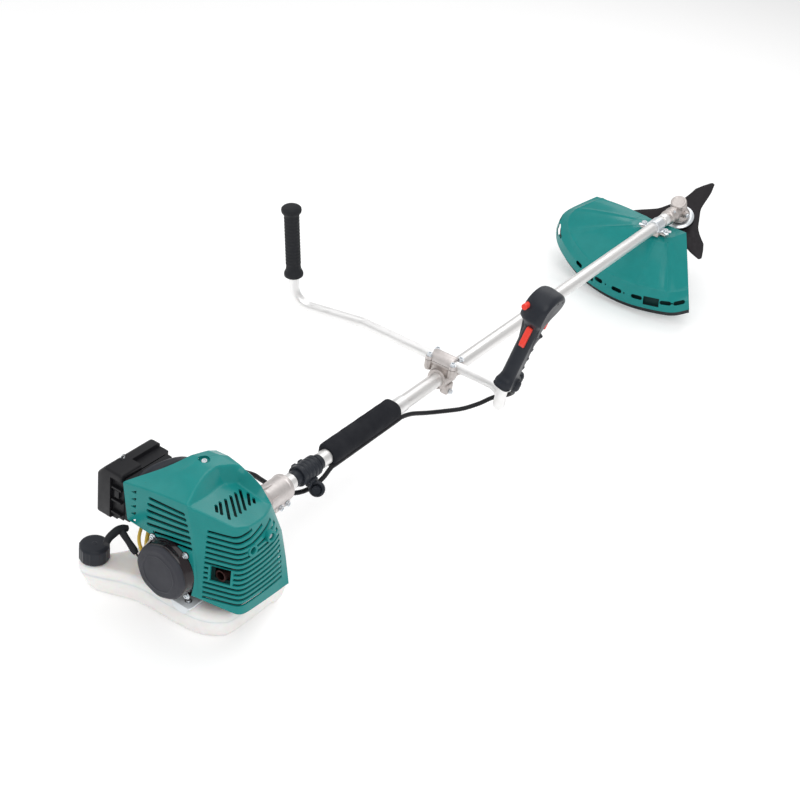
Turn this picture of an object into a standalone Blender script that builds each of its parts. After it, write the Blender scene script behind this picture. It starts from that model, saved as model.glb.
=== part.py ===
"""Petrol brush cutter with cow-horn handlebar, one closed body per physical piece.

Machine frame, millimetres: the origin is on the shaft axis in front of the clutch, +Y runs
forward along the shaft, +X is the operator's right and +Z is up, square to the shaft.
Every body hangs under one empty that pitches the machine onto the floor: the fuel tank and the
guard flap touch Z = 0.
"""

import math

import bmesh
import bpy
from mathutils import Matrix, Vector

MM = 0.001

# Resting on the floor
PITCH_DEG = 2.45  # shaft axis above the horizontal
FLOOR_DROP = 121.4  # shaft axis origin above the floor, along machine Z
REST_Y = 655.4  # machine Y that lands over the row's origin
REST_X = -77.3  # machine X that lands over the row's origin

# Shaft and drive line
TUBE_R = 13.0
TUBE_WALL = 1.5
TUBE_Y = (-6.0, 1425.0)
DRIVE_R = 4.0
LINER_Y = (120.0, 1320.0)
LINER_COLLARS = (140.0, 520.0, 910.0, 1300.0)

# Gear head: output axis leans 30 degrees and crosses the shaft axis here
HEAD_Y = 1471.0
HEAD_TILT = math.radians(30)
BLADE_R = 127.5
BLADE_S = -31.0  # blade's middle plane along the output axis
BLADE_PHASE = math.radians(9.5)

# Handlebar
CLAMP_Y = 470.0
BAR_Z = 30.0
BAR_R = 9.5
BAR_WALL = 1.5

# Engine
CAP_AT = (-138.0, -242.0)


# ------------------------------------------------------------------ building helpers
def clear():
    for obj in list(bpy.data.objects):
        bpy.data.objects.remove(obj, do_unlink=True)


def material(name, colour, rough, metal=0.0):
    mat = bpy.data.materials.new(name)
    mat.use_nodes = True
    bsdf = mat.node_tree.nodes["Principled BSDF"]
    bsdf.inputs["Base Color"].default_value = (*colour, 1.0)
    bsdf.inputs["Roughness"].default_value = rough
    bsdf.inputs["Metallic"].default_value = metal
    mat.diffuse_color = (*colour, 1.0)
    return mat


def frame(origin, up, side=None):
    """Matrix whose Z is up and whose X is as near side as it can be."""
    z = Vector(up).normalized()
    x = Vector(side) if side else Vector((1, 0, 0) if abs(z.x) < 0.9 else (0, 1, 0))
    x = (x - z * x.dot(z)).normalized()
    y = z.cross(x)
    m = Matrix((x, y, z)).transposed().to_4x4()
    m.translation = Vector(origin)
    return m


WORLD = Matrix.Identity(4)


def solid(name, verts, faces, mat, origin=(0, 0, 0), at=WORLD, smooth=40.0):
    """One object from machine-frame millimetres, turned outward, its origin at `origin`."""
    o = Vector(origin)
    mesh = bpy.data.meshes.new(name)
    mesh.from_pydata([((at @ Vector(v)) - o) * MM for v in verts], [], faces)
    bm = bmesh.new()
    bm.from_mesh(mesh)
    bmesh.ops.remove_doubles(bm, verts=bm.verts, dist=1e-6)
    bmesh.ops.recalc_face_normals(bm, faces=bm.faces)
    if bm.calc_volume(signed=True) < 0:
        bmesh.ops.reverse_faces(bm, faces=bm.faces)
    bm.to_mesh(mesh)
    bm.free()
    if smooth:
        mesh.shade_smooth()
        mesh.set_sharp_from_angle(angle=math.radians(smooth))
    obj = bpy.data.objects.new(name, mesh)
    bpy.context.collection.objects.link(obj)
    obj.location = o * MM
    if mat:
        mesh.materials.append(mat)
    return obj


def lathe(name, profile, mat, at=WORLD, segments=32, origin=(0, 0, 0), ripple=None):
    """Turned body about at's Z. profile is (radius, height): it runs axis to axis, or it is a ring."""
    rows, verts, faces = [], [], []
    for r, h in profile:
        if r < 1e-9:
            rows.append([len(verts)])
            verts.append((0, 0, h))
            continue
        rows.append(list(range(len(verts), len(verts) + segments)))
        for k in range(segments):
            a = 2 * math.pi * k / segments
            q = r * (ripple(a) if ripple else 1.0)
            verts.append((q * math.cos(a), q * math.sin(a), h))
    pairs = list(zip(rows, rows[1:]))
    if len(rows[0]) > 1:
        pairs.append((rows[-1], rows[0]))
    for a, b in pairs:
        for k in range(segments):
            n = (k + 1) % segments
            face = [a[k % len(a)], a[n % len(a)], b[n % len(b)], b[k % len(b)]]
            face = [v for i, v in enumerate(face) if v not in face[:i]]
            if len(face) > 2:
                faces.append(face)
    return solid(name, verts, faces, mat, origin, at)


def prism(name, outline, low, high, mat, at=WORLD, origin=(0, 0, 0), smooth=40.0):
    """Outline in at's XY, extruded from low to high along at's Z."""
    n = len(outline)
    verts = [(x, y, low) for x, y in outline] + [(x, y, high) for x, y in outline]
    faces = [list(range(n - 1, -1, -1)), list(range(n, 2 * n))]
    faces += [[k, (k + 1) % n, n + (k + 1) % n, n + k] for k in range(n)]
    return solid(name, verts, faces, mat, origin, at, smooth)


def box(name, lo, hi, mat, at=WORLD, origin=(0, 0, 0)):
    outline = [(lo[0], lo[1]), (hi[0], lo[1]), (hi[0], hi[1]), (lo[0], hi[1])]
    return prism(name, outline, lo[2], hi[2], mat, at, origin, 30.0)


def loft(name, rings, mat, origin=(0, 0, 0), at=WORLD):
    """Closed rings of equal length joined in order, flat ends closed."""
    n = len(rings[0])
    verts = [p for ring in rings for p in ring]
    faces = [list(range(n)), [(len(rings) - 1) * n + k for k in range(n)]]
    for r in range(len(rings) - 1):
        for k in range(n):
            a, b = r * n + k, r * n + (k + 1) % n
            faces.append([a, b, b + n, a + n])
    return solid(name, verts, faces, mat, origin, at)


def smooth_path(points, step):
    """Catmull-Rom curve through the points, sampled about every step."""
    p = [Vector(q) for q in points]
    p = [p[0] * 2 - p[1]] + p + [p[-1] * 2 - p[-2]]
    out = []
    for a, b, c, d in zip(p, p[1:], p[2:], p[3:]):
        n = max(1, round((c - b).length / step))
        for k in range(n):
            t = k / n
            out.append(
                0.5 * (2 * b + (c - a) * t + (2 * a - 5 * b + 4 * c - d) * t**2
                       + (3 * b - a - 3 * c + d) * t**3)
            )
    return out + [p[-2]]


def filleted(points, radius, steps=6):
    """Straight runs with round bends of the given radius at every inner point."""
    p = [Vector(q) for q in points]
    out = [p[0]]
    for a, b, c in zip(p, p[1:], p[2:]):
        u, v = (a - b).normalized(), (c - b).normalized()
        half = math.acos(max(-1, min(1, u.dot(v)))) / 2
        cut = radius / math.tan(half)
        centre = b + (u + v).normalized() * (radius / math.sin(half))
        s, e = b + u * cut - centre, b + v * cut - centre
        turn = s.angle(e)
        axis = s.cross(e).normalized()
        for k in range(steps + 1):
            out.append(centre + Matrix.Rotation(turn * k / steps, 3, axis) @ s)
    return out + [p[-1]]


def sweep(name, path, radius, mat, inner=0.0, sides=20, origin=(0, 0, 0)):
    """Round bar or open tube along a path of points."""
    p = [Vector(q) for q in path]
    tangents = []
    for k in range(len(p)):
        tangents.append((p[min(k + 1, len(p) - 1)] - p[max(k - 1, 0)]).normalized())
    normal = tangents[0].orthogonal().normalized()
    rings = []
    for q, t in zip(p, tangents):
        normal = (normal - t * normal.dot(t)).normalized()
        side = t.cross(normal)
        rings.append((q, normal.copy(), side))
    verts, faces = [], []
    for r in [radius, inner] if inner else [radius]:
        for q, u, v in rings:
            for k in range(sides):
                a = 2 * math.pi * k / sides
                verts.append(q + (u * math.cos(a) + v * math.sin(a)) * r)
    n, m = len(rings), sides
    for shell in range(2 if inner else 1):
        for r in range(n - 1):
            for k in range(m):
                a = shell * n * m + r * m
                faces.append([a + k, a + (k + 1) % m, a + m + (k + 1) % m, a + m + k])
    for r in (0, n - 1):
        ring = [r * m + k for k in range(m)]
        if inner:
            far = [n * m + v for v in ring]
            faces += [[ring[k], ring[(k + 1) % m], far[(k + 1) % m], far[k]] for k in range(m)]
        else:
            faces.append(ring)
    return solid(name, verts, faces, mat, origin)


def boolean(target, operation, *tools):
    for tool in tools:
        tool.hide_render = True
        tool.display_type = "WIRE"
        mod = target.modifiers.new(tool.name, "BOOLEAN")
        mod.operation = operation
        mod.solver = "EXACT"
        mod.object = tool
    return target


def bevel(obj, width, segments=2, angle=35.0):
    mod = obj.modifiers.new("edge", "BEVEL")
    mod.width = width * MM
    mod.segments = segments
    mod.limit_method = "ANGLE"
    mod.angle_limit = math.radians(angle)
    return obj


def rod(name, start, end, radius, segments=24):
    """Plain cylinder used as a tool or a pin."""
    a, b = Vector(start), Vector(end)
    return lathe(name, [(0, 0), (radius, 0), (radius, (b - a).length), (0, (b - a).length)],
                 None, frame(a, b - a), segments)


def cap_screw(name, at, shank_r, length, head_r, mat, head=None):
    """Socket-head screw: at's Z points out of the head, the head's underside is at height 0."""
    head = head or head_r * 1.1
    hole = head_r * 0.5
    profile = [(0, -length), (shank_r, -length), (shank_r, 0), (head_r, 0), (head_r, head),
               (hole, head), (hole, head * 0.45), (0, head * 0.45)]
    return lathe(name, profile, mat, at, 12)


# ------------------------------------------------------------------ materials
clear()
TEAL = material("teal_plastic", (0.02, 0.27, 0.26), 0.35)
BLACK = material("black_plastic", (0.03, 0.032, 0.036), 0.5)
GLOSS = material("gloss_black_plastic", (0.012, 0.012, 0.014), 0.2)
RUBBER = material("black_rubber", (0.02, 0.021, 0.024), 0.75)
FOAM = material("black_foam", (0.015, 0.015, 0.016), 0.95)
TANK = material("translucent_tank", (0.82, 0.81, 0.77), 0.4)
TUBE = material("brushed_aluminium", (0.75, 0.75, 0.75), 0.35, 1.0)
CAST = material("cast_aluminium", (0.38, 0.36, 0.35), 0.5, 1.0)
STEEL = material("zinc_steel", (0.62, 0.64, 0.66), 0.35, 1.0)
DARK = material("dark_steel", (0.06, 0.055, 0.06), 0.4, 1.0)
RED = material("red_plastic", (0.8, 0.06, 0.035), 0.4)
BRONZE = material("bronze", (0.55, 0.38, 0.18), 0.4, 1.0)
CLEAR = material("fuel_line_rubber", (0.75, 0.55, 0.12), 0.35)

SHAFT = frame((0, 0, 0), (0, 1, 0), (1, 0, 0))  # Z along the shaft


# ------------------------------------------------------------------ shaft and drive line
def build_shaft():
    y0, y1 = TUBE_Y
    inner = TUBE_R - TUBE_WALL
    lathe("shaft_tube", [(TUBE_R, y0), (TUBE_R, y1), (inner, y1), (inner, y0)], TUBE, SHAFT, 36)
    lathe("drive_shaft", [(0, -30), (DRIVE_R, -30), (DRIVE_R, 1446), (0, 1446)], DARK, SHAFT, 16,
          origin=(0, 700, 0))
    profile = [(6.2, LINER_Y[0])]
    for y in LINER_COLLARS:
        profile += [(6.2, y - 12), (11.2, y - 11), (11.2, y + 11), (6.2, y + 12)]
    profile += [(6.2, LINER_Y[1]), (4.3, LINER_Y[1]), (4.3, LINER_Y[0])]
    lathe("shaft_liner", profile, BRONZE, SHAFT, 16)


def build_clutch():
    """Clutch housing over the drum and shoes, pinched on the shaft tube by two screws."""
    housing = lathe("clutch_housing", [
        (52, -100), (52, -94), (46, -92), (45, -66), (38, -50), (25, -38), (21, -30), (21, 22),
        (13.2, 22), (13.2, -8), (9.4, -8), (9.4, -56), (42.5, -62), (42.5, -100)], CAST, SHAFT, 32)
    lugs = box("pinch_lugs", (-13, -14, -25), (16, 20.5, -12), None)
    slit = box("pinch_slit", (-0.8, -18, -40), (0.8, 26, -6), None)
    tube_room = rod("tube_room", (0, -7.5, 0), (0, 30, 0), 13.25, 34)
    boolean(housing, "UNION", lugs)
    boolean(housing, "DIFFERENCE", tube_room, slit)
    for n, y in enumerate((-4.0, 12.0), 1):
        hole = rod(f"pinch_hole_{n}", (-12, y, -19), (30, y, -19), 2.7, 16)
        boolean(housing, "DIFFERENCE", hole)
        cap_screw(f"clutch_pinch_screw_{n}", frame((16.3, y, -19), (1, 0, 0)), 2.4, 26, 4.2, STEEL)
    lathe("clutch_drum", [(0, -70), (36, -70), (38, -72), (38, -94), (40.5, -94), (40.5, -68),
                          (9, -66), (8.6, -30.3), (0, -30.3)], STEEL, SHAFT, 28, origin=(0, -70, 0))
    for side, name in ((0, "a"), (180, "b")):
        arc = [math.radians(side + a) for a in range(-78, 79, 12)]
        outline = [(36.6 * math.cos(a), 36.6 * math.sin(a)) for a in arc]
        outline += [(13.5 * math.cos(a), 13.5 * math.sin(a)) for a in reversed(arc)]
        prism(f"clutch_shoe_{name}", outline, -91, -75, DARK, SHAFT, origin=(0, -83, 0))
    lathe("crankshaft", [(0, -214), (6, -214), (6, -201), (7.5, -201), (7.5, -104), (12.5, -100),
                         (12.5, -72.5), (0, -72.5)], STEEL, SHAFT, 24, origin=(0, -150, 0))


# ------------------------------------------------------------------ engine
def build_crankcase():
    case = prism("crankcase", [(-52, -38), (-40, -56), (40, -56), (52, -38), (50, 20), (34, 38),
                               (-34, 38), (-50, 20)], -204, -104,
                 CAST, frame((0, 0, 0), (0, 1, 0), (1, 0, 0)) @ Matrix.Scale(-1, 4, (0, 1, 0)))
    bevel(case, 3)
    fan_room = rod("fan_room", (0, -210, 0), (0, -174, 0), 50, 36)
    bore = rod("crank_bore", (0, -180, 0), (0, -90, 0), 8.0, 24)
    boolean(case, "DIFFERENCE", fan_room, bore)
    lathe("flywheel", [(7.8, -199), (20, -199), (22, -192), (46, -192), (46, -178), (7.8, -178)],
          CAST, SHAFT, 28, origin=(0, -190, 0))


def build_cylinder():
    up = frame((-18, -142, 0), (0, 0, 1))
    profile = [(0, 38.3), (20, 38.3)]
    for k, r in enumerate((28, 28, 28, 26, 22.5)):
        z = 46 + 12 * k
        profile += [(20, z), (r, z), (r, z + 4), (20, z + 4)]
    profile += [(20, 101), (15, 105), (0, 105)]
    lathe("cylinder", profile, CAST, up, 22)
    lathe("spark_plug_boot", [(0, 105.3), (8, 105.3), (9, 109), (7, 117), (4, 120), (0, 120)],
          RUBBER, up, 14)
    muffler = box("muffler", (56, -206, -30), (94, -124, 58), STEEL)
    bevel(muffler, 6, 3)
    port = box("exhaust_port", (10.4, -155, 51), (70, -131, 57), None)
    outlet = rod("exhaust_outlet", (79, -190, 19), (79, -219, 19), 9)
    bore = rod("outlet_bore", (79, -206, 19), (79, -226, 19), 6.5)
    boolean(muffler, "UNION", port, outlet)
    boolean(muffler, "DIFFERENCE", bore)


# Cover's outer skin: rows from the rear to the front, each from the left edge over the dome,
# the ridge, the crease and the vent panel down to the right-hand lower edge.
COVER_ROWS = [
    [(-91, -236, 101), (-35, -236, 115), (25, -236, 124), (29, -235, 122), (62, -224, 116),
     (93, -213, 108), (103, -212, 75), (108, -211, 15), (111, -210, -42)],
    [(-72, -214, 112), (-30, -208, 124), (13, -202, 131), (26, -198, 114), (60, -192, 108),
     (97, -188, 99), (107, -190, 70), (111, -190, 15), (113, -190, -43)],
    [(-52, -190, 122), (-26, -180, 129), (2, -172, 130), (16, -169, 107), (56, -164, 99),
     (93, -160, 90), (107, -160, 62), (112, -160, 12), (114, -160, -44)],
    [(-43, -150, 127), (-24, -146, 130), (-2, -142, 125), (10, -140, 99), (48, -137, 91),
     (85, -133, 84), (103, -132, 56), (110, -132, 8), (115, -132, -45)],
    [(-38, -120, 122), (-18, -118, 124), (4, -117, 117), (17, -116, 90), (45, -115, 85),
     (76, -114, 79), (98, -116, 48), (108, -116, 3), (115, -116, -45)],
    [(-36, -104, 115), (-14, -103, 116), (8, -103, 112), (28, -104, 106), (50, -104, 96),
     (71, -105, 76), (94, -106, 42), (106, -106, -1), (116, -106, -45)],
]
PILLAR = [(44, -235, 62), (50, -233, 0), (51, -232, -30)]
PANEL_EDGE = [(43, -236, -28), (47, -236, -6), (47, -236, 8), (42, -236, 24), (31, -236, 38),
              (12, -236, 47), (-12, -236, 47), (-28, -236, 38), (-45, -236, 38), (-81, -236, 40),
              (-86, -236, 72)]


def build_cover():
    rows, n = COVER_ROWS, len(COVER_ROWS[0])
    verts = [p for row in rows for p in row]
    faces = []
    for r in range(len(rows) - 1):
        for k in range(n - 1):
            a = r * n + k
            faces.append([a, a + 1, a + n + 1, a + n])
    p0 = len(verts)
    verts += PILLAR + PANEL_EDGE
    e0 = p0 + 3
    faces.append([2, p0, p0 + 1, p0 + 2] + [e0 + k for k in range(len(PANEL_EDGE))] + [0, 1])
    faces += [[3, 4, 5, 6], [2, 3, 6, p0], [p0, 6, 7, p0 + 1], [p0 + 1, 7, 8, p0 + 2]]
    mesh = bpy.data.meshes.new("engine_cover")
    mesh.from_pydata([Vector(v) * MM for v in verts], [], faces)
    bm = bmesh.new()
    bm.from_mesh(mesh)
    bmesh.ops.triangulate(bm, faces=bm.faces)
    bmesh.ops.recalc_face_normals(bm, faces=bm.faces)
    top = min(bm.faces, key=lambda f: (f.calc_center_median() - Vector((-0.02, -0.13, 0.13))).length)
    if top.normal.z < 0:
        bmesh.ops.reverse_faces(bm, faces=bm.faces)
    bm.to_mesh(mesh)
    bm.free()
    mesh.materials.append(TEAL)
    mesh.shade_smooth()
    mesh.set_sharp_from_angle(angle=math.radians(40))
    cover = bpy.data.objects.new("engine_cover", mesh)
    bpy.context.collection.objects.link(cover)
    shell = cover.modifiers.new("shell", "SOLIDIFY")
    shell.thickness = 2.6 * MM
    shell.offset = -1
    shell.use_even_offset = True
    tools = []
    for k in range(10):
        z = -30.5 + 11.3 * k
        tools.append(box(f"louvre_{k + 1}", (60 if z > 30 or z < 0 else 97, -250, z),
                         (130, -125.5, z + 5.5), None))
    tools.append(box("exhaust_window", (65.5, -250, 6.5), (93, -212, 34), None))
    for k in range(6):
        z = 53 + 8.4 * k
        tools.append(box(f"panel_slot_{k + 1}", (-70, -250, z), (2 + 4 * k, -230, z + 4.2), None))
    for k in range(7):
        x = 34 + 7.5 * k
        tools.append(box(f"vent_slot_{k + 1}", (x, -182 + 2 * abs(k - 3), 70),
                         (x + 3.4, -140 - 2 * abs(k - 3), 125), None))
    boolean(cover, "DIFFERENCE", *tools)


ROPE_OUT = Vector((-0.765, 0, 0.644)).normalized()  # the starter rope runs off the reel this way
ROPE_FOOT = Vector((-44.7, -247, -5.5))  # where the rope leaves the housing


def build_starter():
    housing = lathe("starter_housing", [
        (0, -258), (40, -258), (43.6, -256), (45.8, -251), (45.8, -240.5), (44.3, -239), (44.3, -214),
        (47, -210), (47, -204.4), (41, -204.4), (41, -250), (38, -254.5), (6, -254.5), (6, -224),
        (0, -224)], GLOSS, SHAFT, 32)
    exit_hole = rod("rope_exit", ROPE_FOOT - ROPE_OUT * 30, ROPE_FOOT + ROPE_OUT * 30, 3.2, 12)
    boolean(housing, "DIFFERENCE", exit_hole)
    reel = [(6.5, -254), (37, -254), (38, -252), (31, -250.5), (31, -243.5), (38, -242),
            (38, -236), (6.5, -236)]
    lathe("starter_reel", reel, BLACK, SHAFT, 28, origin=(0, -245, 0))
    foot, out = ROPE_FOOT, ROPE_OUT
    grip = [foot + out * t + Vector((0, y, 0)) for y, t in
            ((-32, 45), (-24, 48.5), (-13, 50.5), (-4, 51), (4, 49.5), (10, 46.5))]
    handle = sweep("starter_handle", smooth_path(grip, 5), 5.8, RUBBER, sides=14, origin=foot)
    stem = rod("handle_stem", foot + out * 10, foot + out * 49, 4.6, 14)
    rope = rod("handle_rope", foot - out * 50, foot + out * 30, 1.5, 10)
    boolean(handle, "UNION", stem, rope)


def build_carburettor():
    body = box("carburettor", (-84, -172, 44), (-50, -136, 84), CAST)
    bevel(body, 3)
    inlet = rod("inlet_pipe", (-60, -146, 64), (-46.4, -146, 64), 13)
    bulb_seat = rod("bulb_seat", (-67, -154, 40), (-67, -154, 47.6), 9.7, 20)
    boolean(body, "UNION", inlet)
    boolean(body, "DIFFERENCE", bulb_seat)
    cam = prism("throttle_cam", [(-4, -4), (4, -4), (5, 3), (14, 9), (12, 14), (-3, 6)], 0.4, 2.4,
                STEEL, frame((-67, -154, 84), (0, 0, 1)), origin=(-67, -154, 85.5))
    bevel(cam, 0.4, 1)
    lathe("primer_bulb", [(0, 0.2), (9, 0.2), (9, -3), (8, -7), (5, -10), (0, -11.2)], CLEAR,
          frame((-67, -154, 43.7), (0, 0, 1)), 20, origin=(-67, -154, 40))
    choke = prism("choke_lever", [(-4, -4), (4, -4), (4, 18), (7, 24), (-1, 24), (-4, 16)], 0.4, 3.0,
                  BLACK, frame((-76, -172, 62), (0, -1, 0), (1, 0, 0)), origin=(-76, -173.7, 62))
    bevel(choke, 0.5, 1)
    base = box("air_filter_base", (-97, -226, 24), (-86, -140, 97), BLACK)
    bevel(base, 2)
    element = box("air_filter_element", (-118, -214, 32), (-97.4, -150, 88), FOAM)
    bevel(element, 3)
    cover = box("air_filter_cover", (-145, -232, 18), (-97.4, -134, 104), BLACK)
    bevel(cover, 10, 3)
    room = box("filter_room", (-141, -228, 22), (-90, -138, 99), None)
    boolean(cover, "DIFFERENCE", room)


# Fuel tank levels: height, growth of the body outline and how far the filler lobe reaches out
TANK_BODY = [(-62, -228), (0, -224), (48, -218), (72, -206), (80, -190), (82, -92), (70, -78),
             (-84, -78), (-98, -92), (-101, -150)]
TANK_LOBE = [(-106, -188), (-112, -204), (-112, -222), (-100, -232)]
TANK_LEVELS = [(-116, -6, 0.5), (-110, -1, 0.62), (-105, 2, 0.74), (-88, 4, 0.9), (-70, 4, 1.0),
               (-63.5, 0, 1.0), (-61, -6, 0.95)]


def tank_ring(z, grow, reach):
    ring = []
    centre = Vector((-8, -152))
    for x, y in TANK_BODY:
        d = Vector((x, y)) - centre
        ring.append((x + grow * (1 if d.x > 0 else -1), y + grow * (1 if d.y > 0 else -1), z))
    lobe = Vector(CAP_AT)
    for k, (x, y) in enumerate(TANK_LOBE):
        a = math.radians((75, 130, 200, 268)[k])
        r = 20.0 + 0.5 * min(0, grow)
        fx, fy = lobe.x + r * math.cos(a), lobe.y + r * math.sin(a)
        ring.append((x + (fx - x) * reach, y + (fy - y) * reach, z))
    return ring


def floor_z(y):
    """Machine Z of the floor under machine Y."""
    return -FLOOR_DROP - y * math.tan(math.radians(PITCH_DEG))


def build_tank():
    rings = [tank_ring(*level) for level in TANK_LEVELS]
    rings[0] = [(x, y, floor_z(y)) for x, y, z in rings[0]]
    tank = loft("fuel_tank", rings, TANK)
    x, y = CAP_AT
    neck = lathe("filler_neck", [(0, -75), (16, -75), (16, -46), (0, -46)], None,
                 frame((x, y, 0), (0, 0, 1)), 28)
    inner = [tank_ring(z, g, r) for z, g, r in ((-108, -8, 0.5), (-88, -2, 0.84), (-66, -6, 0.93))]
    room = loft("fuel_room", inner, None)
    hole = lathe("filler_hole", [(0, -80), (13, -80), (13, -40), (0, -40)], None,
                 frame((x, y, 0), (0, 0, 1)), 28)
    boolean(tank, "UNION", neck)
    boolean(tank, "DIFFERENCE", room, hole)
    lathe("fuel_cap", [(0, -33), (20, -33), (22.5, -35.5), (23, -38), (23, -59.5), (17, -59.5),
                       (17, -44), (0, -44)], BLACK, frame((x, y, 0), (0, 0, 1)), 36,
          origin=(x, y, -45), ripple=lambda a: 1.0 if round(a / math.pi * 18) % 3 else 0.96)
    prism("engine_foot", [(-34, -186), (-34, -208), (6, -208), (6, -233), (36, -233), (36, -186)],
          -60.7, -56.3, STEEL)


# ------------------------------------------------------------------ harness clamp, sleeve, cable
CABLE_SEAT = (13.3, -12.9)  # cable's place beside the shaft tube, inside the foam sleeve


def build_shaft_furniture():
    clamp = lathe("harness_clamp", [(13.3, 54), (17.5, 54), (17.5, 98), (13.3, 98)], BLACK, SHAFT, 26)
    seat = box("lug_block", (8, 67, -19), (19, 84, -7), None)
    plate = frame((25, 76, -22), (0.42, -0.84, 0.34), (0, 0, 1))
    ring = [(7, -1.6), (8.5, -3), (11.5, -3), (13.5, -1.6), (13.5, 1.6), (11.5, 3), (8.5, 3), (7, 1.6)]
    eye = lathe("harness_eye", ring, None, plate, 20)
    hook_room = lathe("hook_room", [(0, -9), (7, -9), (7, 9), (0, 9)], None, plate, 22)
    boolean(clamp, "UNION", seat, eye)
    tube_room = rod("harness_bore", (0, 40, 0), (0, 110, 0), 13.4, 24)
    boolean(clamp, "DIFFERENCE", tube_room, hook_room)
    sleeve = lathe("foam_sleeve", [(13.3, 130), (16.5, 130), (18, 133), (18, 315), (16.5, 318),
                                   (13.3, 318)], FOAM, SHAFT, 26)
    x, z = CABLE_SEAT
    bulge = lathe("cable_bulge", [(0, 131), (5, 131), (6.6, 134), (6.6, 314), (5, 317), (0, 317)], None,
                  frame((x, 0, z), (0, 1, 0), (1, 0, 0)), 14)
    cable_room = rod("cable_room", (x, 100, z), (x, 350, z), 4.3, 16)
    sleeve_room = rod("sleeve_room", (0, 100, 0), (0, 350, 0), 13.4, 24)
    boolean(sleeve, "UNION", bulge)
    boolean(sleeve, "DIFFERENCE", cable_room, sleeve_room)
    lathe("shaft_collar", [(13.3, 320), (14.6, 320), (14.6, 346), (13.3, 346)], TUBE, SHAFT, 32)


# Throttle cable from under the throttle grip to the carburettor side of the engine
CONDUIT = [(147, 476, 12), (130, 487, 4), (112, 490, -1), (97, 484, -9), (82, 469, -20), (62, 449, -31),
           (40, 424, -35), (24, 392, -31), (15, 356, -20), (13.3, 326, -12.9), (13.3, 312, -12.9),
           (13.3, 226, -12.9), (13.3, 142, -12.9), (13, 128, -13.6), (11, 110, -27), (6, 92, -36),
           (0, 70, -38), (-12, 48, -34), (-28, 30, -20), (-37, 12, -2), (-38, -6, 16),
           (-40, -30, 34), (-47, -58, 54), (-55, -92, 74), (-59, -122, 88)]


def build_conduit():
    gland = grip_frame()
    start = [gland @ Vector((8, -17, -0.4)), gland @ Vector((8, -17, -15))]
    sweep("throttle_conduit", smooth_path(start + CONDUIT, 15), 3.6, BLACK, sides=8)


# ------------------------------------------------------------------ handlebar
BAR_END = Vector((135, 441, 49))  # top of the bar's bend into the throttle grip
GRIP_AXIS = Vector((0.222, 0.015, 0.975)).normalized()
GRIP_FOOT = BAR_END + GRIP_AXIS * 11
LEFT_FOOT, LEFT_TIP = Vector((-319, 438, 80)), Vector((-332, 428, 219))


def bezier(a, b, c, d, steps):
    out = []
    for k in range(steps + 1):
        t = k / steps
        out.append(a * (1 - t) ** 3 + b * 3 * t * (1 - t) ** 2 + c * 3 * t * t * (1 - t) + d * t**3)
    return out


def build_handlebar():
    corner = LEFT_FOOT + (LEFT_FOOT - LEFT_TIP).normalized() * 55
    left = filleted([LEFT_TIP - (LEFT_TIP - LEFT_FOOT) * 0.1, corner, (-178, CLAMP_Y, BAR_Z),
                     (95, CLAMP_Y, BAR_Z)], 34, 5)
    right = bezier(Vector((95, CLAMP_Y, BAR_Z)), Vector((130, CLAMP_Y, BAR_Z)),
                   BAR_END - GRIP_AXIS * 42, BAR_END, 9)
    path = left + right[1:] + [GRIP_FOOT + GRIP_AXIS * 56]
    sweep("handlebar_tube", path, BAR_R, TUBE, inner=BAR_R - BAR_WALL, sides=16)
    y = CLAMP_Y
    lower = box("handlebar_clamp_base", (-30, y - 17, 6), (30, y + 17, BAR_Z - 0.3), CAST)
    bevel(lower, 3)
    ring = rod("clamp_ring", (0, y - 19.3, 0), (0, y + 19.3, 0), 19, 28)
    lug = box("clamp_lug", (4, y - 11, -29), (20, y + 11, -9), None)
    boolean(lower, "UNION", ring, lug)
    shaft_room = rod("clamp_bore", (0, y - 40, 0), (0, y + 40, 0), 13.4, 26)
    bar_room = rod("bar_seat", (-40, y, BAR_Z), (40, y, BAR_Z), 9.9, 24)
    slit = box("clamp_slit", (6.5, y - 30, -40), (8.5, y + 30, -5), None)
    boolean(lower, "DIFFERENCE", shaft_room, bar_room, slit)
    cap = lathe("handlebar_clamp_cap", [(9.6, -19), (15, -19), (15, 19), (9.6, 19)], CAST,
                frame((0, y, BAR_Z), (1, 0, 0), (0, 1, 0)), 28)
    wings = box("cap_wings", (-29.4, y - 17, BAR_Z), (29.4, y + 17, BAR_Z + 7), None)
    trim = box("cap_trim", (-40, y - 40, BAR_Z - 30), (40, y + 40, BAR_Z + 0.3), None)
    room = rod("cap_room", (-40, y, BAR_Z), (40, y, BAR_Z), 9.9, 26)
    boolean(cap, "UNION", wings)
    boolean(cap, "DIFFERENCE", trim, room)
    for n, (sx, sy) in enumerate(((-1, -1), (1, -1), (1, 1), (-1, 1)), 1):
        at = (sx * 24.5, y + sy * 13.0)
        hole = rod(f"clamp_hole_{n}", (*at, BAR_Z - 15), (*at, BAR_Z + 20), 2.8, 16)
        boolean(lower, "DIFFERENCE", hole)
        boolean(cap, "DIFFERENCE", hole)
        cap_screw(f"clamp_screw_{n}", frame((*at, BAR_Z + 7.3), (0, 0, 1)), 2.5, 17, 4.4, STEEL)
    hole = rod("pinch_hole", (0, y, -24), (40, y, -24), 2.7, 16)
    boolean(lower, "DIFFERENCE", hole)
    cap_screw("shaft_pinch_screw", frame((20.3, y, -24), (1, 0, 0)), 2.4, 15, 4.2, STEEL)


def build_left_grip():
    foot, tip = LEFT_FOOT, LEFT_TIP
    at = frame(foot, tip - foot, (1, 0, 0))
    length = (tip - foot).length
    lathe("left_grip", [(9.9, 0), (15, 0), (17.5, 3), (17.5, 9), (14, 16), (13.2, 60), (14, 105),
                        (14.5, length - 14), (18.5, length - 9), (18.5, length - 4),
                        (14, length), (0, length), (0, length - 6), (9.9, length - 6)],
          RUBBER, at, 24)


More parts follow.
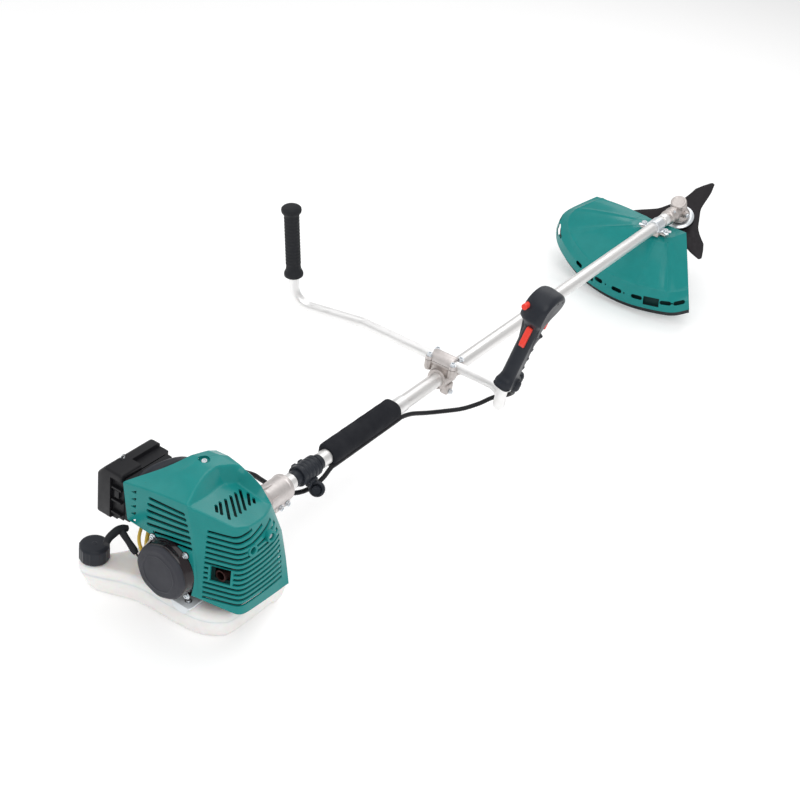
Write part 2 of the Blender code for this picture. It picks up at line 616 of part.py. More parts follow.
def grip_frame():
    """X is forward, Y is to the left, Z is up the grip."""
    return frame(GRIP_FOOT, GRIP_AXIS, (0, 1, 0))


# Side outline of the throttle housing: (forward, up), from the bottom front
THROTTLE_OUTLINE = [(22, 0), (25, 6), (24, 16), (16, 24), (14.5, 34), (16.5, 42), (14.5, 52),
                    (16.5, 62), (14.5, 72), (16.5, 82), (14.5, 92), (20, 97), (32, 100), (33.5, 106),
                    (14, 110.5), (13.5, 144), (32, 149), (45, 158), (50, 169), (46, 181), (32, 189),
                    (12, 191.5), (-6, 187.5), (-18, 177), (-22, 163), (-21.5, 147), (-16, 137),
                    (-13.5, 128), (-13.5, 34), (-15, 24), (-20, 17), (-21, 6), (-18, 0)]


def build_throttle():
    at = grip_frame()
    side = at @ Matrix.Rotation(math.pi / 2, 4, "X")
    gland = lathe("cable_gland", [(0, -14), (6, -14), (7.5, -10), (7.5, 14), (5, 20), (0, 20)], None,
                  at @ frame((8, -17, 14), (0, 0, 1)), 16)
    for name, lo, hi in (("throttle_housing_right", 0.15, 13), ("throttle_housing_left", -13, -0.15)):
        half = prism(name, THROTTLE_OUTLINE, lo, hi, BLACK, side)
        out = 1 if hi > 1 else -1
        head = [(0.97 * b + 0.3, 167 + 0.97 * (a - 167)) for b, a in THROTTLE_OUTLINE if a >= 137]
        swell = prism(f"{name}_head", head, *sorted((out * 5, 16.5 if out > 0 else -27)), None, side)
        bevel(swell, 3, 2, 50)
        foot = [(-19, 0.8), (21, 0.8), (23.4, 7), (21, 18), (-18, 18), (-20, 8)]
        base = prism(f"{name}_base", foot, *sorted((out * 5, out * 16)), None, side)
        boolean(half, "UNION", swell, base)
        bore = lathe(f"{name}_bore", [(0, -20), (9.9, -20), (9.9, 64), (0, 64)], None, at, 28)
        pocket = box(f"{name}_trigger_pocket", (2, -6.4, 113.3), (40, 6.4, 153), None, at)
        finger_slot = box(f"{name}_finger_slot", (17, -6.4, 78), (60, 6.4, 114), None, at)
        back = box(f"{name}_lock_pocket", (-30, -5.4, 92), (-4, 5.4, 134), None, at)
        switch = lathe(f"{name}_switch_bore", [(0, 0), (5.6, 0), (5.6, 40), (0, 40)], None,
                       at @ frame((-4, 20, 169), (-1, 0, 0)), 20)
        if name.endswith("right"):
            boolean(half, "UNION", gland)
        boolean(half, "DIFFERENCE", bore, pocket, finger_slot, back, switch)
    pivot = at @ Vector((9, 0, 148))
    lever = [(6, 151), (12, 152), (14, 146), (22, 141), (34, 138), (44, 132), (49, 122), (50.5, 112),
             (49, 105), (44, 105), (43.5, 112), (39, 118), (33, 121), (24, 120), (12, 119), (6, 138)]
    trigger = prism("throttle_trigger", lever, -5.6, 5.6, RED, side, origin=pivot)
    bevel(trigger, 1, 2, 50)
    lock_pivot = at @ Vector((-12, 0, 130))
    lock = prism("lockout_lever", [(-10, 133), (-16.5, 133), (-19, 128), (-19.5, 100), (-17, 93),
                                   (-12, 93), (-10, 100)], -5.0, 5.0, RED, side, origin=lock_pivot)
    bevel(lock, 1, 2, 50)
    lathe("stop_button", [(0, 8), (5.2, 8), (5.2, 23), (4.5, 26), (0, 26)], RED,
          at @ frame((-4, 20, 169), (-1, 0, 0)), 20, origin=at @ Vector((-24, 20, 169)))


# ------------------------------------------------------------------ gear head, blade and guard
N = Vector((0, -math.sin(HEAD_TILT), math.cos(HEAD_TILT)))
HEAD = frame((0, HEAD_Y, 0), N, (1, 0, 0))


def blade_outline():
    """Three teeth joined by hollow arcs."""
    outline = []
    for k in range(3):
        a0 = math.pi / 2 - BLADE_PHASE - 2 * math.pi * k / 3
        for t, r in ((-0.62, 0.41), (-0.36, 0.54), (-0.235, 0.74), (-0.13, 0.85), (-0.03, 0.985),
                     (0.04, 1.0), (0.13, 0.82), (0.19, 0.72), (0.3, 0.55), (0.55, 0.41)):
            outline.append((BLADE_R * r * math.cos(a0 - t), BLADE_R * r * math.sin(a0 - t)))
    return outline


def build_head():
    body = lathe("gear_head", [(0, -18), (19, -18), (21, -14), (18.5, -4), (18.5, 18), (17.5, 20),
                               (17.5, 28), (16, 30), (0, 30)], CAST, HEAD, 28)
    collar = rod("head_collar", (0, 1407, 0), (0, HEAD_Y - 3, 0), 17.1, 28)
    tube_room = rod("head_tube_room", (0, 1380, 0), (0, 1426, 0), 13.3, 26)
    pinion_room = rod("pinion_room", (0, 1420, 0), (0, HEAD_Y - 1, 0), 10.5, 26)
    gear_room = lathe("gear_room", [(0, -40), (14, -40), (14, 23), (0, 23)], None, HEAD, 28)
    boolean(body, "UNION", collar)
    boolean(body, "DIFFERENCE", tube_room, pinion_room, gear_room)
    lathe("pinion", [(4.3, 1449), (8.2, 1449), (8.2, 1453), (4.6, 1460), (4.3, 1460)], STEEL, SHAFT,
          20, origin=(0, 1454, 0))
    lathe("bevel_gear", [(5.3, 9), (6.2, 9), (10.4, 15), (10.4, 20), (5.3, 20)], STEEL, HEAD, 24,
          origin=HEAD @ Vector((0, 0, 14)))
    lathe("output_shaft", [(0, -52), (5, -52), (5, 21.5), (0, 21.5)], STEEL, HEAD, 20,
          origin=HEAD @ Vector((0, 0, -20)))
    lathe("blade_flange", [(5.3, -18.6), (12, -18.6), (13, -21.5), (30, -22), (34, -25), (34, -27),
                           (26, -29.9), (12.4, -29.9), (12.4, -32), (5.3, -32)], STEEL, HEAD, 28,
          origin=HEAD @ Vector((0, 0, -25)))
    outline = blade_outline()
    n = len(outline)
    hole = [(12.8 * math.cos(2 * math.pi * k / n + math.pi / 2 - BLADE_PHASE + 0.62),
             12.8 * math.sin(2 * math.pi * k / n + math.pi / 2 - BLADE_PHASE + 0.62))
            for k in range(0, -n, -1)]
    verts = [(x, y, z) for z in (BLADE_S - 0.8, BLADE_S + 0.8) for x, y in outline + hole]
    faces = []
    for k in range(n):
        m = (k + 1) % n
        faces += [[k, m, n + m, n + k], [2 * n + k, 2 * n + m, 3 * n + m, 3 * n + k],
                  [k, m, 2 * n + m, 2 * n + k], [n + k, n + m, 3 * n + m, 3 * n + k]]
    solid("blade", verts, faces, DARK, HEAD @ Vector((0, 0, BLADE_S)), HEAD, 30.0)
    nut = lathe("blade_nut", [(0, -32.3), (22, -32.3), (22, -34.5), (14, -38), (0, -38)], STEEL,
                HEAD, 30, origin=HEAD @ Vector((0, 0, -35)))
    hexagon = lathe("nut_hexagon", [(0, -36), (10, -36), (10, -47), (0, -47)], None, HEAD, 6)
    thread = lathe("nut_thread", [(0, -30), (5.35, -30), (5.35, -50), (0, -50)], None, HEAD, 20)
    boolean(nut, "UNION", hexagon)
    boolean(nut, "DIFFERENCE", thread)


# Guard rim seen along the blade axis: (right, forward) at the lower edge, left front to right
GUARD_RIM = [(-198, -44), (-222, -80), (-240, -112), (-243, -140), (-226, -174), (-196, -203),
             (-150, -231), (-100, -251), (-40, -262), (20, -262), (84, -250), (116, -238),
             (141, -216)]
GUARD_HUB = [(-36, -62), (-40, -72), (-42, -84), (-42, -96), (-40, -106), (-36, -114), (-28, -119),
             (-16, -122), (0, -123), (12, -122), (28, -118), (40, -104), (52, -62)]
FLAP_DROP = 16.0  # flap below the rim
GUARD_LIFT = (-42.0, -17.0)  # rim's lower and upper edge along the blade axis


def hub_lift(e):
    """Height along the blade axis of the flat seat just below the shaft."""
    return (-17.2 - 0.5 * e) / 0.866


def build_guard():
    low, high = GUARD_LIFT
    rows = []
    for (rx, re), (hx, he) in zip(GUARD_RIM, GUARD_HUB):
        row = [(rx, re, low)]
        top = Vector((rx, re)) * 0.968
        hub = Vector((hx, he))
        rise = hub_lift(he)
        row.append((top.x, top.y, high))
        for t in (0.1, 0.35, 0.65, 0.88):
            q = top.lerp(hub, t)
            bulge = math.sin(math.pi * t) * 9
            row.append((q.x, q.y, high + (rise - high) * t ** 0.92 + bulge))
        row.append((hub.x, hub.y, rise))
        rows.append(row)
    n = len(rows[0])
    verts = [p for row in rows for p in row]
    seat = len(verts)
    verts += [(0, -62, hub_lift(-62)), (0, -90, hub_lift(-90))]
    faces = []
    for r in range(len(rows) - 1):
        for k in range(n - 1):
            a = r * n + k
            faces.append([a, a + 1, a + n + 1, a + n])
        faces.append([r * n + n - 1, (r + 1) * n + n - 1, seat + 1])
    faces.append([n - 1, seat, seat + 1])
    faces.append([(len(rows) - 1) * n + n - 1, seat, seat + 1])
    mesh = bpy.data.meshes.new("guard")
    mesh.from_pydata([(HEAD @ Vector(v)) * MM for v in verts], [], faces)
    bm = bmesh.new()
    bm.from_mesh(mesh)
    bmesh.ops.recalc_face_normals(bm, faces=bm.faces)
    probe = max(bm.faces, key=lambda f: f.calc_area())
    if probe.normal.dot(N) < 0:
        bmesh.ops.reverse_faces(bm, faces=bm.faces)
    bm.to_mesh(mesh)
    bm.free()
    mesh.materials.append(TEAL)
    mesh.shade_smooth()
    mesh.set_sharp_from_angle(angle=math.radians(35))
    guard = bpy.data.objects.new("guard", mesh)
    bpy.context.collection.objects.link(guard)
    shell = guard.modifiers.new("shell", "SOLIDIFY")
    shell.thickness = 2.6 * MM
    shell.offset = -1
    shell.use_even_offset = True
    slots = []
    for k in range(9):
        rear = math.radians(-46 + 9.2 * k)
        at = HEAD @ frame((250 * math.sin(rear), -250 * math.cos(rear), high - 4), (0, 0, 1),
                          (math.cos(rear), math.sin(rear), 0))
        wide = 9 if k % 4 == 1 else 6
        slots.append(box(f"rim_slot_{k + 1}", (-wide, -30, -9), (wide, 14, 3), None, at))
    boolean(guard, "DIFFERENCE", *slots)
    arc = [Vector(p) for p in GUARD_RIM[4:]]
    outer = [p * 0.962 for p in arc]
    inner = [p * 0.950 for p in arc]
    outline = [(p.x, p.y) for p in outer] + [(p.x, p.y) for p in reversed(inner)]
    prism("guard_flap", outline, low - FLAP_DROP, low + 6, RUBBER, HEAD, smooth=40)


def build_guard_mount():
    y0, y1 = 1328.0, 1366.0
    saddle = box("guard_saddle", (-34, y0, -16.8), (34, y1, -6.2), CAST)
    bevel(saddle, 1.5)
    bore = rod("saddle_bore", (0, 1300, 0), (0, 1400, 0), 13.3, 32)
    boolean(saddle, "DIFFERENCE", bore)
    cap = lathe("guard_clamp", [(13.3, y0 + 3), (16.3, y0 + 3), (16.3, y1 - 3), (13.3, y1 - 3)], STEEL,
                SHAFT, 32)
    wings = box("clamp_wings", (-34, y0 + 3, -5.9), (34, y1 - 3, -3.2), None)
    lower = box("clamp_lower_trim", (-50, 1300, -30), (50, 1400, -5.9), None)
    bore2 = rod("clamp_cap_bore", (0, 1300, 0), (0, 1400, 0), 13.3, 32)
    boolean(cap, "UNION", wings)
    boolean(cap, "DIFFERENCE", lower, bore2)
    for n, x in enumerate((-26.0, 26.0), 1):
        hole = rod(f"guard_hole_{n}", (x, 1347, -30), (x, 1347, 5), 2.8, 16)
        boolean(saddle, "DIFFERENCE", hole)
        boolean(cap, "DIFFERENCE", hole)
        cap_screw(f"guard_screw_{n}", frame((x, 1347, -2.9), (0, 0, 1)), 2.5, 13, 4.6, STEEL)


build_shaft()
build_clutch()
build_crankcase()
build_cylinder()
build_cover()
build_starter()
build_carburettor()
build_tank()
build_shaft_furniture()
build_conduit()
build_handlebar()
build_left_grip()
build_throttle()
build_head()
build_guard()
build_guard_mount()

rest = bpy.data.objects.new("rest_pose", None)
bpy.context.collection.objects.link(rest)
turn = Matrix.Rotation(math.radians(PITCH_DEG), 4, "X")
lift = Vector((-REST_X, -REST_Y * math.cos(math.radians(PITCH_DEG)),
               FLOOR_DROP * math.cos(math.radians(PITCH_DEG)))) * MM
rest.matrix_world = Matrix.Translation(lift) @ turn
for obj in list(bpy.data.objects):
    if obj is not rest and obj.parent is None:
        obj.parent = rest
bpy.context.view_layer.update()
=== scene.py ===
"""Brush cutter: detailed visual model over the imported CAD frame, in machine-frame millimetres."""

import math

import bmesh
import bpy
from mathutils import Matrix, Vector


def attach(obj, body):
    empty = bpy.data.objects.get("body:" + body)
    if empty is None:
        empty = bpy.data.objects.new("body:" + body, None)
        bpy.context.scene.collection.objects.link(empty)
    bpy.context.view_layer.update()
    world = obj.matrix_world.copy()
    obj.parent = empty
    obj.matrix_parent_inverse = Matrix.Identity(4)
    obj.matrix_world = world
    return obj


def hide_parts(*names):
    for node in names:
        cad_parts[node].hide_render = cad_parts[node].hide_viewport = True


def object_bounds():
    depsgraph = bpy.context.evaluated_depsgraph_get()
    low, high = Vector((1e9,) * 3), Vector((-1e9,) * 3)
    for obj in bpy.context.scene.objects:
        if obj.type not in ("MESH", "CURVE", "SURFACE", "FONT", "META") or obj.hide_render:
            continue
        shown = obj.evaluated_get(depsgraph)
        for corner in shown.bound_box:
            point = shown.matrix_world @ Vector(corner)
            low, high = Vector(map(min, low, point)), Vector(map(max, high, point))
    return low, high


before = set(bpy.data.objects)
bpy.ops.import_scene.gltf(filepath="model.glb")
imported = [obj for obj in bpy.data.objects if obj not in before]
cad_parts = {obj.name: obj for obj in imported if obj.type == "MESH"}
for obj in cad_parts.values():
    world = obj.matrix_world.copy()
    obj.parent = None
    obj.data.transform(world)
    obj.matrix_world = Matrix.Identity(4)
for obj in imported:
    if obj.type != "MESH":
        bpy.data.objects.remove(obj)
CAD_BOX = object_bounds()

# ------------------------------------------------------------------ the machine frame
# Origin on the shaft axis in front of the clutch, +Y forward, +X right, +Z up square to the shaft.
PITCH = math.radians(2.45)
FLOOR_DROP, REST_Y, REST_X = 121.4, 655.4, -77.3
MM = 0.001
ROW = Matrix.Translation(Vector((-REST_X, -REST_Y * math.cos(PITCH), FLOOR_DROP * math.cos(PITCH))) * MM)
ROW = ROW @ Matrix.Rotation(PITCH, 4, "X") @ Matrix.Scale(MM, 4)


def frame_at(origin, up, side=None):
    z = Vector(up).normalized()
    x = Vector(side) if side else Vector((1, 0, 0) if abs(z.x) < 0.9 else (0, 1, 0))
    x = (x - z * x.dot(z)).normalized()
    m = Matrix((x, z.cross(x), z)).transposed().to_4x4()
    m.translation = Vector(origin)
    return m


WORLD = Matrix.Identity(4)
SHAFT = frame_at((0, 0, 0), (0, 1, 0), (1, 0, 0))
HEAD_Y, HEAD_TILT = 1471.0, math.radians(30)
HEAD = frame_at((0, HEAD_Y, 0), (0, -math.sin(HEAD_TILT), math.cos(HEAD_TILT)), (1, 0, 0))
BAR_END = Vector((135, 441, 49))
GRIP_AXIS = Vector((0.222, 0.015, 0.975)).normalized()
GRIP_FOOT = BAR_END + GRIP_AXIS * 11
GRIP = frame_at(GRIP_FOOT, GRIP_AXIS, (0, 1, 0))  # X forward, Y left, Z up the grip
LEFT_FOOT, LEFT_TIP = Vector((-319, 438, 80)), Vector((-332, 428, 219))
CLAMP_Y, BAR_Z, BAR_R = 470.0, 30.0, 9.5
TUBE_ROOM, BAR_ROOM = 13.1, 9.8  # bores round the shaft tube and round the handlebar
SKIN = 2.6  # wall of the cover and of the guard
SMOOTH = 38.0  # edges sharper than this, in degrees, stay sharp

# ------------------------------------------------------------------ camera, first of all
camera = bpy.data.objects.new("camera", bpy.data.cameras.new("camera"))
bpy.context.collection.objects.link(camera)
turn = Matrix(((0.81532, -0.40146, 0.41724), (0.5648, 0.39278, -0.72576), (0.12748, 0.82738, 0.54698)))
place = ROW @ Vector((982.4, -1373.7, 1299.2))
camera.matrix_world = Matrix.Translation(place) @ (Matrix.Rotation(PITCH, 3, "X") @ turn).to_4x4()
camera.data.sensor_fit = "HORIZONTAL"
camera.data.sensor_width = 36.0
camera.data.lens = 62.44
camera.data.clip_end = 30.0
bpy.context.scene.camera = camera
bpy.context.scene.view_settings.view_transform = "Standard"


# ------------------------------------------------------------------ mesh helpers
def add(name, mesh, mat=None):
    obj = bpy.data.objects.new(name, mesh)
    bpy.context.collection.objects.link(obj)
    if mat:
        mesh.materials.append(mat)
    return obj


def shade(obj, degrees=SMOOTH):
    obj.data.shade_smooth()
    obj.data.set_sharp_from_angle(angle=math.radians(degrees))
    return obj


def solid(name, verts, faces, mat, at=WORLD, smooth=SMOOTH):
    mesh = bpy.data.meshes.new(name)
    mesh.from_pydata([ROW @ (at @ Vector(v)) for v in verts], [], faces)
    bm = bmesh.new()
    bm.from_mesh(mesh)
    bmesh.ops.remove_doubles(bm, verts=bm.verts, dist=1e-7)
    bmesh.ops.recalc_face_normals(bm, faces=bm.faces)
    if bm.calc_volume(signed=True) < 0:
        bmesh.ops.reverse_faces(bm, faces=bm.faces)
    bm.to_mesh(mesh)
    bm.free()
    return shade(add(name, mesh, mat), smooth)


def open_shell(name, points, faces, probe, mat, weigh=None):
    """Open sheet turned so that its probe face looks up; weigh marks its edges."""
    mesh = bpy.data.meshes.new(name)
    mesh.from_pydata([ROW @ p for p in points], [], faces)
    bm = bmesh.new()
    bm.from_mesh(mesh)
    bmesh.ops.recalc_face_normals(bm, faces=bm.faces)
    if probe(bm.faces).normal.z < 0:
        bmesh.ops.reverse_faces(bm, faces=bm.faces)
    if weigh:
        weigh(bm)
    bm.to_mesh(mesh)
    bm.free()
    return add(name, mesh, mat)


def patches(rows, columns):
    """Four-sided faces of a rows x columns net of points."""
    return [[a, a + 1, a + columns + 1, a + columns] for a in (
        r * columns + k for r in range(rows - 1) for k in range(columns - 1))]


def lathe(name, profile, mat, at=WORLD, segments=64, ripple=None, smooth=SMOOTH):
    rows, verts, faces = [], [], []
    for r, h in profile:
        if r < 1e-9:
            rows.append([len(verts)])
            verts.append((0, 0, h))
            continue
        rows.append(list(range(len(verts), len(verts) + segments)))
        for k in range(segments):
            a = 2 * math.pi * k / segments
            q = r * (ripple(a, h) if ripple else 1.0)
            verts.append((q * math.cos(a), q * math.sin(a), h))
    pairs = list(zip(rows, rows[1:]))
    if len(rows[0]) > 1:
        pairs.append((rows[-1], rows[0]))
    for a, b in pairs:
        for k in range(segments):
            n = (k + 1) % segments
            face = [a[k % len(a)], a[n % len(a)], b[n % len(b)], b[k % len(b)]]
            face = [v for i, v in enumerate(face) if v not in face[:i]]
            if len(face) > 2:
                faces.append(face)
    return solid(name, verts, faces, mat, at, smooth)


def softened(profile, radius, steps=3):
    """Profile with its corners rounded."""
    out = []
    for k, (r, h) in enumerate(profile):
        if k in (0, len(profile) - 1) or r < 1e-9:
            out.append((r, h))
            continue
        p, a, b = Vector((r, h)), Vector(profile[k - 1]), Vector(profile[k + 1])
        da, db = (a - p), (b - p)
        c = min(radius, da.length * 0.45, db.length * 0.45)
        s, e = p + da.normalized() * c, p + db.normalized() * c
        for i in range(steps + 1):
            t = i / steps
            q = s * (1 - t) ** 2 + p * 2 * t * (1 - t) + e * t**2
            out.append((max(q.x, 0.0), q.y))
    return out


def prism(name, outline, low, high, mat, at=WORLD, smooth=SMOOTH):
    n = len(outline)
    verts = [(x, y, low) for x, y in outline] + [(x, y, high) for x, y in outline]
    faces = [list(range(n - 1, -1, -1)), list(range(n, 2 * n))]
    faces += [[k, (k + 1) % n, n + (k + 1) % n, n + k] for k in range(n)]
    return solid(name, verts, faces, mat, at, smooth)


def box(name, lo, hi, mat, at=WORLD):
    outline = [(lo[0], lo[1]), (hi[0], lo[1]), (hi[0], hi[1]), (lo[0], hi[1])]
    return prism(name, outline, lo[2], hi[2], mat, at, 30.0)


def grid(name, rows, mat, closed=False, caps=False, at=WORLD, smooth=SMOOTH):
    """Surface through rows of points; closed joins each row's ends, caps closes the end rows."""
    n = len(rows[0])
    verts = [p for row in rows for p in row]
    faces = []
    for r in range(len(rows) - 1):
        for k in range(n if closed else n - 1):
            a, b = r * n + k, r * n + (k + 1) % n
            faces.append([a, b, b + n, a + n])
    if caps:
        faces += [list(range(n)), [(len(rows) - 1) * n + k for k in range(n)]]
    return solid(name, verts, faces, mat, at, smooth)


def catmull(points, steps, closed=False):
    p = [Vector(q) for q in points]
    p = [p[-1]] + p + p[:2] if closed else [p[0] * 2 - p[1]] + p + [p[-1] * 2 - p[-2]]
    out = []
    for a, b, c, d in zip(p, p[1:], p[2:], p[3:]):
        for k in range(steps):
            t = k / steps
            out.append(0.5 * (2 * b + (c - a) * t + (2 * a - 5 * b + 4 * c - d) * t**2
                              + (3 * b - a - 3 * c + d) * t**3))
    return out if closed else out + [p[-2]]


def filleted(points, radius, steps=10):
    p = [Vector(q) for q in points]
    out = [p[0]]
    for a, b, c in zip(p, p[1:], p[2:]):
        u, v = (a - b).normalized(), (c - b).normalized()
        half = math.acos(max(-1, min(1, u.dot(v)))) / 2
        cut = radius / math.tan(half)
        centre = b + (u + v).normalized() * (radius / math.sin(half))
        s, e = b + u * cut - centre, b + v * cut - centre
        axis = s.cross(e).normalized()
        for k in range(steps + 1):
            out.append(centre + Matrix.Rotation(s.angle(e) * k / steps, 3, axis) @ s)
    return out + [p[-1]]


def sweep(name, path, radius, mat, inner=0.0, sides=32, ripple=None, smooth=SMOOTH):
    """Round bar or tube along a path; ripple(k) scales the radius at point k."""
    p = [Vector(q) for q in path]
    tangents = [(p[min(k + 1, len(p) - 1)] - p[max(k - 1, 0)]).normalized() for k in range(len(p))]
    normal = tangents[0].orthogonal().normalized()
    rings = []
    for q, t in zip(p, tangents):
        normal = (normal - t * normal.dot(t)).normalized()
        rings.append((q, normal.copy(), t.cross(normal)))

    def shell(r):
        return [[q + (u * math.cos(a) + v * math.sin(a)) * r * (ripple(i) if ripple else 1.0)
                 for a in (2 * math.pi * k / sides for k in range(sides))]
                for i, (q, u, v) in enumerate(rings)]
    outer = shell(radius)
    if inner:
        outer += list(reversed(shell(inner)))
        outer.append(outer[0])
        return grid(name, outer, mat, closed=True, smooth=smooth)
    return grid(name, outer, mat, closed=True, caps=True, smooth=smooth)


def bore(radius, low, high, at, segments=48):
    """Round tool along at's Z."""
    return lathe("bore", [(0, low), (radius, low), (radius, high), (0, high)], None, at, segments)


def rod(name, start, end, radius, mat=None, segments=32):
    a, b = Vector(start), Vector(end)
    length = (b - a).length
    return lathe(name, [(0, 0), (radius, 0), (radius, length), (0, length)], mat, frame_at(a, b - a),
                 segments)


def bake(obj, *mods):
    """Adds modifiers and applies them: ("BEVEL", {...})."""
    for kind, settings in mods:
        mod = obj.modifiers.new(kind.lower(), kind)
        for key, value in settings.items():
            setattr(mod, key, value)
    graph = bpy.context.evaluated_depsgraph_get()
    mesh = bpy.data.meshes.new_from_object(obj.evaluated_get(graph), depsgraph=graph)
    obj.modifiers.clear()
    old, obj.data = obj.data, mesh
    bpy.data.meshes.remove(old)
    return obj


def carve(obj, operation, *tools):
    """One exact Boolean over all the tools, applied, and the tools taken away."""
    group = bpy.data.collections.new("tools")
    for tool in tools:
        group.objects.link(tool)
    bpy.context.scene.collection.children.link(group)
    bake(obj, ("BOOLEAN", {"operation": operation, "solver": "EXACT", "operand_type": "COLLECTION",
                           "collection": group, "use_self": True}))
    for tool in tools:
        bpy.data.objects.remove(tool, do_unlink=True)
    bpy.data.collections.remove(group)
    return obj


def cut(obj, *tools):
    return carve(obj, "DIFFERENCE", *tools)


def fuse(obj, *parts):
    return carve(obj, "UNION", *parts)


def rounded_edges(obj, width, segments=3, angle=32.0):
    bake(obj, ("BEVEL", {"width": width * MM, "segments": segments, "limit_method": "ANGLE",
                         "angle_limit": math.radians(angle), "harden_normals": False}))
    return shade(obj)


def put(obj, nodes, body="machine"):
    """The piece stands for these CAD nodes, which it hides, and rides on a body."""
    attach(obj, body)
    if nodes:
        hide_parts(*nodes)
    return obj


# ------------------------------------------------------------------ materials
class Look:
    """A Principled material with noise in its colour, roughness and surface."""

    def __init__(self, name, colour, rough, metal=0.0, **sockets):
        self.mat = bpy.data.materials.new(name)
        self.mat.use_nodes = True
        self.tree = self.mat.node_tree
        self.bsdf = self.tree.nodes["Principled BSDF"]
        self.bsdf.inputs["Base Color"].default_value = (*colour, 1)
        self.bsdf.inputs["Roughness"].default_value = rough
        self.bsdf.inputs["Metallic"].default_value = metal
        for key, value in sockets.items():
            self.bsdf.inputs[key.replace("_", " ")].default_value = value
        self.colour, self.rough = colour, rough
        self.mat.diffuse_color = (*colour, 1)
        self.coords = self.tree.nodes.new("ShaderNodeTexCoord").outputs["Object"]
        self.height = None

    def new(self, kind, **values):
        node = self.tree.nodes.new(kind)
        for key, value in values.items():
            if hasattr(node, key):
                setattr(node, key, value)
            else:
                node.inputs[key.replace("_", " ")].default_value = value
        return node

    def link(self, a, b):
        self.tree.links.new(a, b)

    def noise(self, scale, detail=4.0, stretch=None):
        node = self.new("ShaderNodeTexNoise", Scale=scale, Detail=detail)
        if stretch:
            m = self.new("ShaderNodeMapping")
            m.inputs["Scale"].default_value = stretch
            self.link(self.coords, m.inputs["Vector"])
            self.link(m.outputs["Vector"], node.inputs["Vector"])
        else:
            self.link(self.coords, node.inputs["Vector"])
        return node.outputs["Fac"]

    def spread(self, fac, low, high):
        node = self.new("ShaderNodeMapRange")
        node.inputs["From Min"].default_value = 0.3
        node.inputs["From Max"].default_value = 0.7
        node.inputs["To Min"].default_value = low
        node.inputs["To Max"].default_value = high
        self.link(fac, node.inputs["Value"])
        return node.outputs["Result"]

    def tint(self, fac, other, amount=1.0):
        """Mixes the base colour towards another by a mask."""
        mix = self.new("ShaderNodeMix", data_type="RGBA")
        current = self.bsdf.inputs["Base Color"]
        if current.links:
            self.link(current.links[0].from_socket, mix.inputs[6])
        else:
            mix.inputs[6].default_value = current.default_value
        mix.inputs[7].default_value = (*other, 1)
        scale = self.new("ShaderNodeMath", operation="MULTIPLY")
        scale.inputs[1].default_value = amount
        self.link(fac, scale.inputs[0])
        self.link(scale.outputs[0], mix.inputs[0])
        self.link(mix.outputs[2], current)
        return self

    def roughness(self, fac, low, high):
        self.link(self.spread(fac, low, high), self.bsdf.inputs["Roughness"])
        return self

    def bump(self, fac, strength, distance=0.0005):
        node = self.new("ShaderNodeBump", Strength=strength, Distance=distance)
        self.link(fac, node.inputs["Height"])
        if self.height:
            self.link(self.height, node.inputs["Normal"])
        self.height = node.outputs["Normal"]
        self.link(self.height, self.bsdf.inputs["Normal"])
        return self

    def done(self):
        return self.mat


def plastic(name, colour, rough, grain=900.0, depth=0.04, **sockets):
    sockets.setdefault("Specular_IOR_Level", 0.22)
    look = Look(name, colour, rough, **sockets)
    look.tint(look.spread(look.noise(9, 3), 0, 1), tuple(c * 0.86 for c in colour), 0.5)
    look.tint(look.spread(look.noise(60, 5), 0, 1), tuple(min(1, c * 1.15 + 0.003) for c in colour), 0.35)
    look.roughness(look.noise(35, 5), rough * 0.85, rough * 1.2)
    look.bump(look.noise(grain, 3), depth, 0.0002)
    look.bump(look.noise(26, 2), 0.03, 0.001)
    return look.done()


def metal(name, colour, rough, grain=260.0, stretch=None, depth=0.08, mottle=1.0, **sockets):
    look = Look(name, colour, rough, 1.0, **sockets)
    look.tint(look.spread(look.noise(12, 4), 0, 1), tuple(c * 0.82 for c in colour), 0.55 * mottle)
    look.tint(look.spread(look.noise(grain * 0.4, 5, stretch), 0, 1), tuple(min(1, c * 1.12) for c in colour),
              0.4 * mottle)
    look.roughness(look.noise(grain * 0.5, 5, stretch), rough * 0.8, rough * 1.3)
    look.bump(look.noise(grain, 4, stretch), depth, 0.0003)
    return look.done()


TEAL = plastic("teal_plastic", (0.009, 0.225, 0.215), 0.2, depth=0.03)
# near-black copy of the teal plastic: painted shade for the hollows inside the cover and under the guard
SHADED_TEAL = plastic("teal_painted_shade", (0.003, 0.035, 0.033), 0.6)
BLACK = plastic("black_plastic", (0.010, 0.010, 0.012), 0.42, grain=1500, depth=0.12)
GRIP_BLACK = plastic("grip_plastic", (0.018, 0.021, 0.028), 0.36, grain=1800, depth=0.1)
TEXTURED = plastic("textured_plastic", (0.06, 0.065, 0.08), 0.6, grain=1300, depth=0.5)
MATT = plastic("matt_plastic", (0.040, 0.041, 0.050), 0.55, grain=2200, depth=0.1)
GLOSS = plastic("gloss_black_plastic", (0.009, 0.004, 0.006), 0.12, depth=0.02, Coat_Weight=0.4)
RUBBER = plastic("black_rubber", (0.014, 0.015, 0.018), 0.62, grain=1400, depth=0.2)
RED = plastic("red_plastic", (0.84, 0.06, 0.04), 0.35)
FOAM = plastic("black_foam", (0.012, 0.013, 0.017), 0.85, grain=1500, depth=0.9)
YELLOW = plastic("fuel_line", (0.72, 0.5, 0.08), 0.3)
TANK = plastic("tank_plastic", (0.92, 0.895, 0.87), 0.38, grain=700, depth=0.05,
               Subsurface_Weight=0.25, Subsurface_Scale=0.01)
TUBE = metal("tube_aluminium", (0.84, 0.83, 0.82), 0.42, 500, (1, 0.02, 1), 0.02, 0.35)
BAR = metal("bar_aluminium", (0.88, 0.875, 0.87), 0.42, 160, None, 0.006, 0.3)
CAST = metal("cast_aluminium", (0.56, 0.52, 0.50), 0.42, 420, depth=0.35)
PALE_CAST = metal("pale_cast", (0.66, 0.62, 0.605), 0.45, 420, depth=0.3)
